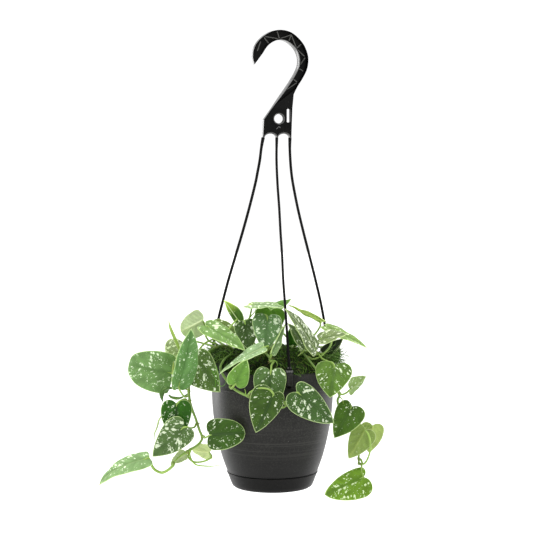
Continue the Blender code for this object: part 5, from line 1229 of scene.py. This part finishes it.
def make_moss(skin):
    rng = np.random.default_rng(4104)
    parts = Parts()
    # the bed: a lumpy dome, closed underneath
    rings, sides = 26, 96
    inside = RIM_R - 3.8
    r = np.linspace(0, inside, rings + 1)[1:]
    angle = 2 * math.pi * np.arange(sides) / sides
    rr, aa = np.meshgrid(r, angle, indexing="ij")
    x, y = rr * np.sin(aa), -rr * np.cos(aa)
    lump = 0.9 * np.sin(x / 3.1 + 0.7) * np.sin(y / 2.7 + 1.9) + 0.8 * np.sin(x / 1.6 + y / 2.3) + rng.normal(0, 0.55, rr.shape)
    z = mound(x, y) - 2.2 + lump * np.clip((inside - rr) / 6 + 0.25, 0, 1)
    top = np.stack([x, y, z], -1).reshape(-1, 3)
    low = np.stack([inside * np.sin(angle), -inside * np.cos(angle), np.full(sides, MOSS_UNDER_Z)], 1)
    verts = np.vstack([top, low, [[0, 0, moss_height(0) - 2.2]], [[0, 0, MOSS_UNDER_Z]]])
    i, k = np.meshgrid(np.arange(rings - 1), np.arange(sides), indexing="ij")
    m = (k + 1) % sides
    quads = [np.stack([i * sides + k, (i + 1) * sides + k, (i + 1) * sides + m, i * sides + m], -1).reshape(-1, 4)]
    k = np.arange(sides)
    m = (k + 1) % sides
    quads.append(np.stack([(rings - 1) * sides + k, rings * sides + k, rings * sides + m, (rings - 1) * sides + m], 1))
    centre = len(verts) - 2
    tris = np.vstack([np.stack([np.full(sides, centre), k, m], 1), np.stack([np.full(sides, centre + 1), rings * sides + m, rings * sides + k], 1)])
    quads = np.vstack(quads)
    # the bed is near-black green: painted shade, the shadow deep among the moss fibres
    dark = np.array(linear((26, 38, 12), GAIN))
    parts.add(lean(verts), quads, tris, 0, tint=dark, grid=verts * np.array([1, 1, 1]))
    greens = [np.array(linear(c, GAIN)) for c in ((34, 54, 14), (48, 78, 20), (68, 106, 28), (96, 140, 44), (136, 174, 76), (104, 100, 50))]
    shares = np.cumsum([0.20, 0.26, 0.24, 0.17, 0.09, 0.04])

    def strand(points, radius, tint, sides=3):
        v, q, t, ring_of = tube(points, radius, sides, side=unit(rng.normal(size=3)), round_end=False)
        parts.add(v, q, t, 0, tint=tint, grid=v + rng.uniform(0, 60))

    def leaflets(points, size, tint):
        """Scale leaves along a strand: flat three-sided spikes."""
        for p in range(1, len(points) - 1):
            tangent = unit(points[p + 1] - points[p - 1])
            for _ in range(2):
                away = rng.normal(size=3)
                away = unit(away - tangent * np.dot(away, tangent))
                tip = points[p] + (away * 0.8 + tangent * 0.7) * size
                side = np.cross(tangent, away) * size * 0.26
                v = np.array([points[p] + side, points[p] - side, points[p] + tangent * size * 0.5, tip])
                parts.add(v, np.zeros((0, 4)), [(0, 1, 3), (1, 2, 3), (2, 0, 3), (0, 2, 1)], 0, tint=tint, grid=v)

    for number in range(3700):
        radius = inside * math.sqrt(rng.uniform(0, 1))
        azimuth = rng.uniform(0, 2 * math.pi)
        p = np.array([radius * math.sin(azimuth), -radius * math.cos(azimuth), 0.0])
        p[2] = mound(p[0], p[1]) - 2.6
        heading = rng.uniform(0, 2 * math.pi)
        d = np.array([math.cos(heading), math.sin(heading), rng.uniform(0.3, 1.4)])
        d = unit(d)
        reach = rng.uniform(6, 15)
        steps = 5
        points = [p]
        swirl = rng.normal(0, 0.55, 3)
        rise = rng.uniform(0.4, 3.6)
        for _ in range(steps):
            d = unit(d + swirl * 0.5 + rng.normal(0, 0.25, 3))
            q = points[-1] + d * reach / steps
            out = math.hypot(q[0], q[1])
            ceiling = mound(q[0], q[1]) + rise
            if q[2] > ceiling:
                q[2] = ceiling
                d[2] = -0.3
            if q[2] < ceiling - 5.0:
                q[2] = ceiling - 5.0
                d[2] = 0.4
            if out > inside - 0.6:
                q[:2] *= (inside - 0.6) / out
                d[:2] *= -0.4
            points.append(q)
        points = list(lean(points))
        tint = greens[int(np.searchsorted(shares, rng.uniform(0, 0.9999)))] * rng.uniform(0.75, 1.25)
        fine = rng.uniform(0.16, 0.34)
        strand(np.array(points), np.array([1, 1, 1, 0.9, 0.7, 0.25]) * fine, tint)
        if number % 4 == 0:
            leaflets(np.array(points), rng.uniform(0.9, 1.7), tint * 1.15)

    def wisps(count, azimuths, roots, reach, sag, tints, thick, lift=0.5):
        for _ in range(count):
            azimuth = rng.uniform(*azimuths)
            radius = rng.uniform(*roots)
            p = ring(azimuth, radius, 0.0)
            p[2] = mound(p[0], p[1]) - 0.5
            out = unit(ring(azimuth + rng.normal(0, 16), 1, 0))
            d = unit(out + np.array([0, 0, rng.uniform(lift * 0.3, lift * 1.7)]) + rng.normal(0, 0.15, 3))
            length = rng.uniform(*reach)
            points = [p]
            swirl = rng.normal(0, 0.30, 3)
            for _ in range(8):
                d = unit(d + swirl * 0.35 + np.array([0, 0, -sag]) + rng.normal(0, 0.14, 3))
                q = points[-1] + d * length / 8
                away = math.hypot(q[0], q[1])
                if 71 < away < 78 and q[2] < RIM_Z + 0.6:
                    q[2] = RIM_Z + 0.6
                    d[2] = max(d[2], 0.05)
                if q[2] < RIM_Z and 60 < away < 77.4:
                    q[:2] *= 77.4 / away
                points.append(q)
            points = list(lean(points))
            tint = np.array(linear(tints[int(rng.integers(len(tints)))], GAIN)) * rng.uniform(0.7, 1.1)
            strand(np.array(points), np.interp(np.linspace(0, 1, 9), [0, 0.7, 1], [1, 0.85, 0.3]) * rng.uniform(*thick), tint, 4)
            if rng.uniform() < 0.5:
                leaflets(np.array(points), rng.uniform(0.8, 1.4), tint)

    lively = [(70, 110, 36), (96, 140, 54), (126, 164, 78), (150, 184, 110)]
    wisps(190, (66, 112), (58, 70), (16, 34), 0.13, lively, (0.20, 0.36), 0.55)
    wisps(130, (-118, -56), (54, 70), (8, 18), 0.14, lively, (0.18, 0.34), 0.9)
    wisps(60, (-60, 60), (62, 71), (8, 15), 0.26, lively[:3], (0.16, 0.28), 0.5)
    wisps(60, (120, 250), (60, 71), (8, 17), 0.22, lively[:3], (0.16, 0.30), 0.6)
    # tendrils that hang over the rim at the front left
    tendrils = (
        [(214, 368, -64), (216.6, 374.4, -72.5), (217.4, 381, -77), (219.6, 385.4, -77.5), (223, 386, -78), (225.8, 382.6, -79), (225.6, 379.4, -79)],
        [(216, 366, -66), (218, 372, -73.5), (219, 378, -76.8), (220.4, 383.4, -78)],
        [(212, 370, -62), (214.8, 376, -71), (215.6, 383, -75.5), (214.6, 388, -76.5)],
        [(272, 370, -72), (275.6, 378, -79), (277.4, 381.4, -80.6)],
    )
    for points in tendrils:
        route = smooth([place(p) for p in points], 26)
        strand(route, np.interp(np.linspace(0, 1, 26), [0, 0.7, 1], [0.46, 0.38, 0.16]), np.array(linear((92, 150, 44), GAIN)), 6)
    return parts.make("moss_bed", [skin])


# ---------------------------------------------------------------- pot, saucer
def turned(profile, sides):
    """A closed body turned from a closed profile of (radius, z), as (points, quads, triangles)."""
    verts, rows, count = [], [], 0
    angle = 2 * math.pi * np.arange(sides) / sides
    for r, z in profile:
        if r < 1e-6:
            rows.append(np.array([count]))
            verts.append(np.array([[0, 0, z]]))
        else:
            rows.append(count + np.arange(sides))
            verts.append(np.stack([r * np.sin(angle), -r * np.cos(angle), np.full(sides, z)], 1))
        count += len(rows[-1])
    quads, tris = [], []
    for i in range(len(rows)):
        a, b = rows[i], rows[(i + 1) % len(rows)]
        if len(a) == 1 and len(b) == 1:
            continue
        if len(a) == 1:
            tris.append(np.stack([np.full(sides, a[0]), np.roll(b, -1), b], 1))
        elif len(b) == 1:
            tris.append(np.stack([a, np.roll(a, -1), np.full(sides, b[0])], 1))
        else:
            quads.append(np.stack([a, np.roll(a, -1), np.roll(b, -1), b], 1))
    return np.vstack(verts), np.vstack(quads), np.vstack(tris) if tris else np.zeros((0, 3), int)


def rounded(profile, radius=0.35, steps=3):
    """A closed profile with its corners eased."""
    p = [np.array(q, float) for q in profile]
    made = []
    n = len(p)
    for i in range(n):
        before, here, after = p[i - 1], p[i], p[(i + 1) % n]
        a, b = before - here, after - here
        la, lb = np.linalg.norm(a), np.linalg.norm(b)
        corner = math.degrees(math.acos(float(np.clip(np.dot(a, b) / max(la * lb, 1e-9), -1, 1))))
        if here[0] < 1e-6 or corner > 158:
            made.append(tuple(here))
            continue
        r = min(radius, 0.4 * la, 0.4 * lb)
        s, e = here + a / la * r, here + b / lb * r
        for t in np.linspace(0, 1, steps + 1):
            q = s * (1 - t) ** 2 + 2 * here * t * (1 - t) + e * t * t
            made.append((float(q[0]), float(q[1])))
    return made


def object_from(name, verts, quads, tris, mats, sharp=None):
    return shell(name, verts, [quads, tris], mats, None, None, sharp)


def raw(name, verts, faces, mat):
    """A helper solid in mm from lists of faces."""
    mesh = bpy.data.meshes.new(name)
    mesh.from_pydata([tuple(v) for v in to_world(verts)], [], [tuple(int(k) for k in f) for f in faces])
    mesh.materials.append(mat)
    edit = bmesh.new()
    edit.from_mesh(mesh)
    bmesh.ops.recalc_face_normals(edit, faces=edit.faces)
    edit.to_mesh(mesh)
    edit.free()
    obj = bpy.data.objects.new(name, mesh)
    bpy.context.scene.collection.objects.link(obj)
    return obj


def ease(obj, width, segments=2, angle=30):
    mod = obj.modifiers.new("ease", "BEVEL")
    mod.width = width * MM
    mod.segments = segments
    mod.limit_method = "ANGLE"
    mod.angle_limit = math.radians(angle)
    return mod


def settle(obj):
    """Applies the modifiers of an object."""
    bpy.context.view_layer.update()
    depsgraph = bpy.context.evaluated_depsgraph_get()
    mesh = bpy.data.meshes.new_from_object(obj.evaluated_get(depsgraph), depsgraph=depsgraph)
    old = obj.data
    obj.modifiers.clear()
    obj.data = mesh
    bpy.data.meshes.remove(old)
    return obj


def combine(obj, others, operation):
    for other in others:
        mod = obj.modifiers.new(operation.lower(), "BOOLEAN")
        mod.operation = operation
        mod.object = other
        mod.solver = "EXACT"
    settle(obj)
    for other in others:
        bpy.data.objects.remove(other, do_unlink=True)
    return obj


def soften(obj, angle):
    obj.data.polygons.foreach_set("use_smooth", np.ones(len(obj.data.polygons), bool))
    obj.data.set_sharp_from_angle(angle=math.radians(angle))
    return obj


def make_pot(skin):
    levels = np.linspace(POT_FLOOR_Z + 0.2, 125.4, 34)
    outside = [(51.2, POT_FLOOR_Z), (outer_wall(20) - 0.6, POT_FLOOR_Z)] + [(wall_curve(z) - 0.2, z) for z in levels]
    # the band under the rim stands a little proud, with a fine bead at its foot
    band = [(75.75, 126.0), (76.7, 126.5), (77.0, 127.0), (76.95, 127.6), (76.55, 128.3), (76.3, 130), (76.2, 138), (76.25, 145.6),
            (76.55, 147.0), (76.7, 148.0), (76.5, 148.8), (75.8, RIM_Z + 0.1), (74.6, RIM_Z + 0.15)]
    inside = [(RIM_R - 2.9, RIM_Z - 0.2), (RIM_R - 3.2, RIM_Z - 1.0), (RIM_R - 3.2, RIM_BAND_Z + 1.6), (outer_wall(125) - WALL, RIM_BAND_Z - 0.6)]
    inside += [(wall_curve(z) - 0.2 - WALL, z) for z in np.linspace(118, 26, 20)]
    inside += [(outer_wall(22) - WALL - 1.6, POT_FLOOR_Z + 2.0), (0, POT_FLOOR_Z + 2.0)]
    skirt = [(0, POT_FLOOR_Z), (49.4, POT_FLOOR_Z), (49.4, 13.6), (51.2, 13.6)]
    verts, quads, tris = turned(skirt + outside + band + inside, 144)
    pot = raw("pot_shell", verts, [tuple(f) for f in quads] + [tuple(f) for f in tris], skin)
    blocks, bores = [], []
    mid = (SOCKET_Z[0] + SOCKET_Z[1]) / 2
    for name, azimuth in SOCKETS.items():
        block = raw("block_" + name, *box(ring(azimuth, SOCKET_R - 1.0, mid), (7.6, 9.0, SOCKET_Z[1] - SOCKET_Z[0]), azimuth), skin)
        ease(block, 1.3, 3)
        settle(block)
        blocks.append(block)
        for side in (-1, 1):
            turn = math.degrees(side * 6.0 / SOCKET_R)
            rib = raw("rib_" + name, *box(ring(azimuth + turn, RIM_R + 0.7, mid - 1.6), (1.1, 3.0, 11.0), azimuth + turn), skin)
            ease(rib, 0.3, 2)
            settle(rib)
            blocks.append(rib)
        bores.append(raw("bore_" + name, *box(ring(azimuth, SOCKET_R, mid), (3.9, 3.9, 40), azimuth), skin))
    for k in range(5):
        bores.append(raw("drain", *drum(ring(36 + 72 * k, 34, POT_FLOOR_Z + 1), (0, 0, 1), 4.0, 8, 24), skin))
    combine(pot, blocks, "UNION")
    combine(pot, bores, "DIFFERENCE")
    return soften(pot, 32)


def wall_curve(z):
    """The pot's wall as a smooth curve through the CAD's levels."""
    levels = [0, 2, 6, 14, 22, 37, 52, 68, 83, 98, 113, 127, 149]
    radii = [outer_wall(v) for v in levels]
    slope = np.gradient(radii, levels)
    k = int(np.clip(np.searchsorted(levels, z) - 1, 0, len(levels) - 2))
    h = levels[k + 1] - levels[k]
    t = (z - levels[k]) / h
    return float((2 * t ** 3 - 3 * t * t + 1) * radii[k] + (t ** 3 - 2 * t * t + t) * h * slope[k]
                 + (3 * t * t - 2 * t ** 3) * radii[k + 1] + (t ** 3 - t * t) * h * slope[k + 1])


def make_saucer(skin):
    outside = [(47.4, 0.5), (50.0, 2.4), (51.6, 6)] + [(float(np.interp(z, [6, 14, 18.4], [51.6, 54.6, 56.3])), z) for z in (8.5, 11, 13.5, 16, 18.0)]
    lip = [(56.7, 18.3), (56.75, 18.9), (56.4, SAUCER_TOP_Z), (55.0, SAUCER_TOP_Z), (54.5, 18.9), (54.4, 18.2)]
    profile = [(0, 0.9), (30, 0.9), (40.4, 0.9), (41.2, 0.0), (44.0, 0)] + outside + lip + [(52.9, 14), (50.0, 6.4), (48.0, 3.4), (45.6, 2.2), (0, 2.2)]
    verts, quads, tris = turned(profile, 128)
    return object_from("saucer_shell", verts, quads, tris, [skin], 34)


# ------------------------------------------------------------------ hanger
def make_hook(skin, edge, rib_highlight):
    frame_of = plate_frame()
    origin, right, normal = frame_of
    up = np.array([0, 0, 1.0])
    outer = through([on_plate(*p) for p in HOOK_OUTER], 8)
    inner = through([on_plate(*p) for p in HOOK_INNER], 8)
    half = PLATE_DEPTH / 2
    low_right, low_left = on_plate(PLATE_FOOT[1], PLATE_FOOT[2]), on_plate(PLATE_FOOT[0], PLATE_FOOT[2])
    arches = []
    for left, right_u, rise in ARCHES:
        for k in range(21):
            t = math.pi * k / 20
            arches.append(on_plate((left + right_u) / 2 + (right_u - left) / 2 * math.cos(t), PLATE_FOOT[2] - rise * math.sin(t)))
    outline = [tuple(p) for p in outer] + [on_plate(291.4, 117)] + [tuple(low_right)] + arches + [tuple(low_left)] + [tuple(p) for p in inner[::-1][:-1]]
    def bright(obj, which=1):
        """Gives a raised edge the lighter, shinier skin: a painted highlight where it catches the light."""
        obj.data.materials.clear()
        for one in (skin, edge, rib_highlight):
            obj.data.materials.append(one)
        obj.data.polygons.foreach_set("material_index", np.full(len(obj.data.polygons), which, np.int32))
        return obj

    hook = raw("hook_plate", *prism(outline, -half, half, frame_of), skin)
    hook.data.materials.append(edge)
    hook.data.materials.append(rib_highlight)
    ease(hook, 0.45, 2, 50)
    settle(hook)
    # the plate's side faces take the lighter, glossier edge skin: a painted highlight along its edges
    for polygon in hook.data.polygons:
        if abs(np.dot(np.array(polygon.normal), normal)) < 0.5:
            polygon.material_index = 1
    pick_out, pick_in = outer[16:106], inner[16:106]
    a_side = np.array([p + unit(q - p) * 1.6 for p, q in zip(pick_out, pick_in)])
    b_side = np.array([q - unit(q - p) * 1.6 for p, q in zip(pick_out, pick_in)])
    pocket = [tuple(p) for p in a_side] + [tuple(p) for p in b_side[::-1]]
    combine(hook, [raw("pocket", *prism(pocket, low, high, frame_of), skin) for low, high in ((WEB_DEPTH / 2, half + 2), (-half - 2, -WEB_DEPTH / 2))], "DIFFERENCE")
    # ribs that brace the web, and a boss where the gate fed it
    ribs = []
    for k, (start, end) in enumerate(HOOK_RIBS):
        start, end = np.array(on_face(*start, half - 0.9)), np.array(on_face(*end, half - 0.9))
        d = unit(end - start)
        n = np.array([-d[1], d[0]])
        strip = [tuple(start - n * 0.55), tuple(end - n * 0.55), tuple(end + n * 0.55), tuple(start + n * 0.55)]
        top = half - 0.8 - 0.05 * k
        rib = raw("rib", *prism(strip, -top, top, frame_of), skin)
        ease(rib, 0.25, 2)
        settle(rib)
        # each rib, and the faces the wedges shave from it, take the lighter rib skin: a painted highlight on the raised
        # rib
        bright(rib, 2)
        cutters = []
        for i, (verts, faces) in enumerate(wedges(frame_of)):
            cutters.append(bright(raw("shave", verts - normal * (0.07 + 0.004 * k) * (1 if i < 2 else -1), faces, skin), 2))
        combine(rib, cutters, "DIFFERENCE")
        ribs.append(rib)
    combine(hook, [raw("wedge", *wedge, skin) for wedge in wedges(frame_of)], "DIFFERENCE")
    combine(hook, ribs, "UNION")
    # raised beads along the low arches, and a lip round the hole, both in the lighter edge skin as a painted highlight
    trims = []
    for left, right_u, rise in ARCHES:
        for face in (-1, 1):
            line = []
            for t in np.linspace(0.06, math.pi - 0.06, 24):
                a, z = on_plate((left + right_u) / 2 + ((right_u - left) / 2 + 0.35) * math.cos(t), PLATE_FOOT[2] - 0.4 - (rise + 0.55) * math.sin(t))
                line.append(origin + right * a + up * z + normal * face * (HALF_THIN - 0.05))
            v, q, t3, _ = tube(np.array(line), 0.62, 8)
            trims.append(bright(raw("bead", v, [tuple(f) for f in q] + [tuple(f) for f in t3], skin)))
    a, z = on_plate(278.3, 118.4)
    centre = origin + right * a + up * z
    turns = np.linspace(0, 2 * math.pi, 49)[:-1]
    for face in (-1, 1):
        verts, faces = [], []
        for t in turns:
            spoke = right * math.cos(t) + up * math.sin(t)
            rim = centre + right * 7.4 * math.cos(t) + up * 6.5 * math.sin(t) + normal * face * (HALF_THIN - 0.05)
            for j in range(8):
                b = 2 * math.pi * j / 8
                verts.append(rim + spoke * 0.6 * math.cos(b) + normal * 0.45 * math.sin(b))
        for i in range(48):
            for j in range(8):
                p, q = (i + 1) % 48, (j + 1) % 8
                faces.append((i * 8 + j, i * 8 + q, p * 8 + q, p * 8 + j))
        trims.append(bright(raw("lip", np.array(verts), faces, skin)))
    # the little mark that the mould's gate leaves, in the lighter edge skin as a painted highlight
    line = [origin + right * on_face(u, v, HALF_THIN)[0] + up * on_face(u, v, HALF_THIN)[1] + normal * (HALF_THIN - 0.1) for u, v in ((276.6, 128.6), (277.8, 127.3), (279.4, 126.4), (280.0, 127.4))]
    v, q, t3, _ = tube(smooth(line, 12), 0.6, 8)
    trims.append(bright(raw("gate", v, [tuple(f) for f in q] + [tuple(f) for f in t3], skin)))
    combine(hook, trims, "UNION")
    oval = [(centre @ right - origin @ right + 6.7 * math.cos(t), z0) for t, z0 in ((t, on_plate(0, 118.4)[1] + 5.8 * math.sin(t)) for t in turns)]
    hole = raw("hole", *prism(oval, -10, 10, frame_of), skin)
    a, z = on_plate(287.9, 115.3)
    slot = []
    for across, tall, start in ((1, 1, 0.0), (-1, 1, 0.5), (-1, -1, 1.0), (1, -1, 1.5)):
        for t in np.linspace(start, start + 0.5, 6) * math.pi:
            slot.append((a + across * 1.5 + math.cos(t), z + tall * 7.3 + math.sin(t)))
    cutter = raw("slot", *prism(slot, -10, 10, frame_of), skin)
    combine(hook, [hole, cutter], "DIFFERENCE")
    return soften(hook, 34)


def make_strand(name, skin, edge):
    points, azimuth = strand_path(name)
    path = smooth(points, 90)
    out = ring(azimuth, 1, 0)
    parts = Parts()
    size = np.ones(90)
    size[:5] = np.interp(np.arange(5), [0, 4], [1.25, 1.0])
    v, q, t, _ = tube(path, size, 16, flat=(1.75, 1.55, out), side=out)
    parts.add(v, q, t, 0)
    foot = points[-1]
    side = np.array([math.cos(math.radians(azimuth)), math.sin(math.radians(azimuth)), 0])
    up = np.array([0, 0, 1.0])

    def block(centre, size, round_by=0.5):
        """A box with rounded corners, as a closed skin."""
        half = np.asarray(size) / 2
        ticks = [np.array([-1, -1 + 0.30 * r, -1 + r, 1 - r, 1 - 0.30 * r, 1]) for r in np.minimum(round_by / half, 0.9)]
        grid_verts, grid_quads = [], []
        for axis in range(3):
            u, w = (axis + 1) % 3, (axis + 2) % 3
            for sign in (-1, 1):
                a, b = np.meshgrid(ticks[u], ticks[w], indexing="ij")
                p = np.zeros((6, 6, 3))
                p[..., axis], p[..., u], p[..., w] = sign, a, b
                core = np.clip(p * half, -(half - np.minimum(round_by, half * 0.9)), half - np.minimum(round_by, half * 0.9))
                d = p * half - core
                d /= np.maximum(np.linalg.norm(d, axis=-1), 1e-9)[..., None]
                p = core + d * np.minimum(round_by, half.min() * 0.9)
                i, j = np.meshgrid(np.arange(5), np.arange(5), indexing="ij")
                o = len(grid_verts) * 36 + i * 6 + j
                quads = np.stack([o, o + 6, o + 7, o + 1], -1).reshape(-1, 4)
                grid_quads.append(quads if sign > 0 else quads[:, ::-1])
                grid_verts.append(p.reshape(-1, 3))
        local = np.vstack(grid_verts)
        quads = np.vstack(grid_quads)
        keys, first, back = np.unique(np.round(local, 4), axis=0, return_index=True, return_inverse=True)
        local = local[first]
        quads = back.reshape(-1)[quads]
        placed = centre + local[:, :1] * side + local[:, 1:2] * out + local[:, 2:] * up
        return placed, quads

    def add_block(centre, size, round_by=0.5, which=0):
        v, q = block(centre, size, round_by)
        parts.add(v, q, np.zeros((0, 3)), which)

    # T-shaped stop on the socket, a collar and a flared sleeve above it; the T-bar and the small block above the collar
    # take the lighter edge skin, a painted glint on their tops
    add_block(foot - up * 2.2, (8.6, 5.0, 2.8), 0.7, 1)
    add_block(foot + up * 0.2, (6.2, 4.2, 2.6), 0.8)
    add_block(foot + up * 2.1, (4.9, 3.6, 1.4), 0.5, 1)
    tall = smooth([foot + up * 0.8, foot + (path[-8] - foot) * 0.5 + up * 0.3, path[-8]], 10)
    v, q, t, _ = tube(tall, np.linspace(1.35, 1.02, 10), 16, flat=(1.75, 1.35, out), side=out)
    parts.add(v, q, t, 0)
    low = SOCKET_Z[0] - 3.4
    add_block(ring(azimuth, SOCKET_R, (low + foot[2]) / 2), (PEG, PEG, foot[2] - low), 0.5)
    add_block(ring(azimuth, SOCKET_R, SOCKET_Z[0] - 1.9), (5.4, 2.4, 2.6), 0.6)
    return parts.make("strand_" + name, [skin, edge], sharp=50)


# ------------------------------------------------------------------- stage
def light(name, where, to, size, watts, colour=(1, 1, 1)):
    lamp = bpy.data.lights.new(name, "AREA")
    lamp.shape = "RECTANGLE"
    lamp.size, lamp.size_y = size
    lamp.energy = watts
    lamp.color = colour
    obj = bpy.data.objects.new(name, lamp)
    bpy.context.scene.collection.objects.link(obj)
    a, b = np.asarray(where, float), np.asarray(to, float)
    d = unit(b - a)
    obj.location = a
    from mathutils import Vector
    obj.rotation_euler = Vector(d).to_track_quat("-Z", "Y").to_euler()
    return obj


def set_stage():
    scene = bpy.context.scene
    scene.view_settings.view_transform = "Standard"
    scene.view_settings.look = "None"
    angle = 2 * math.pi * np.arange(96) / 96
    rims = [0.0, 1.0, 2.5, 5.0, 9.0, 14.0]
    verts = [(0, 0, 0)]
    for r in rims[1:]:
        verts += [(r * math.cos(a), r * math.sin(a), 0) for a in angle]
    tris = [(0, 1 + k, 1 + (k + 1) % 96) for k in range(96)]
    quads = []
    for i in range(len(rims) - 2):
        for k in range(96):
            m = (k + 1) % 96
            quads.append((1 + i * 96 + k, 1 + (i + 1) * 96 + k, 1 + (i + 1) * 96 + m, 1 + i * 96 + m))
    verts = np.array(verts, float) + np.array([0, 0, -1.15])
    floor = shell("studio_floor", verts, [np.array(tris), np.array(quads)], [stage_paint()], world=False)
    world = bpy.data.worlds.new("studio")
    scene.world = world
    world.use_nodes = True
    nodes, links = world.node_tree.nodes, world.node_tree.links
    nodes.clear()
    out = nodes.new("ShaderNodeOutputWorld")
    back = nodes.new("ShaderNodeBackground")
    coords = nodes.new("ShaderNodeTexCoord")
    split = nodes.new("ShaderNodeSeparateXYZ")
    links.new(coords.outputs["Generated"], split.inputs[0])
    # the wall behind and the sides are bright, the camera's side is dimmer
    ramp = nodes.new("ShaderNodeMapRange")
    ramp.interpolation_type = "SMOOTHSTEP"
    links.new(split.outputs[1], ramp.inputs[0])
    for socket, value in zip(ramp.inputs[1:5], (-0.75, 0.25, 0.34, 1.10)):
        socket.default_value = value
    high = nodes.new("ShaderNodeMapRange")
    high.interpolation_type = "SMOOTHSTEP"
    links.new(split.outputs[2], high.inputs[0])
    for socket, value in zip(high.inputs[1:5], (-0.2, 0.9, 0.0, 0.55)):
        socket.default_value = value
    total = nodes.new("ShaderNodeMath")
    total.operation = "ADD"
    links.new(ramp.outputs[0], total.inputs[0])
    links.new(high.outputs[0], total.inputs[1])
    seen = nodes.new("ShaderNodeLightPath")
    pick = nodes.new("ShaderNodeMix")
    pick.data_type = "FLOAT"
    links.new(seen.outputs["Is Camera Ray"], pick.inputs[0])
    links.new(total.outputs[0], pick.inputs[2])
    pick.inputs[3].default_value = 1.05
    links.new(pick.outputs[0], back.inputs["Strength"])
    back.inputs["Color"].default_value = (1, 1, 1, 1)
    links.new(back.outputs[0], out.inputs["Surface"])
    light("key", (-1.5, -1.5, 1.5), (0, 0, -0.35), (1.3, 1.3), 26)
    light("fill", (0.9, -2.1, 0.5), (0, 0, -0.4), (1.2, 1.6), 6)
    light("edge_left", (-1.75, 1.30, -0.1), (0, 0, -0.3), (0.6, 2.2), 22)
    light("edge_right", (1.75, 1.30, -0.1), (0, 0, -0.4), (0.6, 2.2), 9)
    light("top", (0.1, 0.3, 1.7), (0, 0, -0.4), (1.4, 1.4), 12)
    camera_data = bpy.data.cameras.new("camera")
    camera_data.sensor_width = 36
    camera_data.lens = 1615 / 533 * 36
    camera_data.clip_end = 60
    camera = bpy.data.objects.new("camera", camera_data)
    scene.collection.objects.link(camera)
    camera.location = (-0.0148, -1.9948, -0.1337)
    camera.rotation_euler = (math.radians(90 - 4.15), 0, 0)
    scene.camera = camera


def carry(piece, slot, *nodes):
    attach(piece, "root")
    if nodes:
        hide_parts(*nodes)


def main():
    set_stage()
    upper, under, stem = leaf_upper(), leaf_under(), stem_skin()
    fibre, soil = moss_fibre(), soil_grain()
    # the saucer's copy of the plastic has a lower specular level, so it shows darker than the pot: painted shade on the
    # saucer
    plastic, shaded_saucer_plastic = pot_plastic("charcoal_moulded", 0.20), pot_plastic("charcoal_moulded_shaded_foot", 0.12)
    black = hanger_plastic("black_moulded", (0.0016, 0.0016, 0.0015), (0.0030, 0.0030, 0.0028), 0.34, 0.09)
    # the two copies below are lighter and glossier than the black plastic: painted highlights for the hanger's edges,
    # ribs, beads and T-bars
    edge = hanger_plastic("black_moulded_edge_highlight", (0.030, 0.030, 0.028), (0.050, 0.050, 0.046), 0.20, 0.80)
    rib_highlight = hanger_plastic("black_moulded_rib_highlight", (0.046, 0.046, 0.042), (0.066, 0.066, 0.060), 0.30, 0.45)
    skins = [upper, under, stem]
    for number, (name, spec) in enumerate(LEAVES.items()):
        carry(make_leaf(name, spec, skins, 11 + number), "satin_leaf", name)
    for number, name in enumerate(SPEARS):
        carry(make_spear(name, skins, 90 + number), "satin_leaf", name)
    for number, name in enumerate(VINES):
        carry(make_vine(name, stem, 130 + number), "green_stem", name)
    carry(make_moss(fibre), "moss", "moss_cover")
    carry(make_pot(plastic), "charcoal_plastic", "pot")
    carry(make_saucer(shaded_saucer_plastic), "charcoal_plastic", "saucer")
    carry(make_hook(black, edge, rib_highlight), "black_plastic", "hanger_hook")
    for name in STRANDS:
        carry(make_strand(name, black, edge), "black_plastic", "hanger_strand_" + name)
    bed = frame["nodes"]["potting_soil"]
    for slot in bed.material_slots:
        slot.material = soil


main()
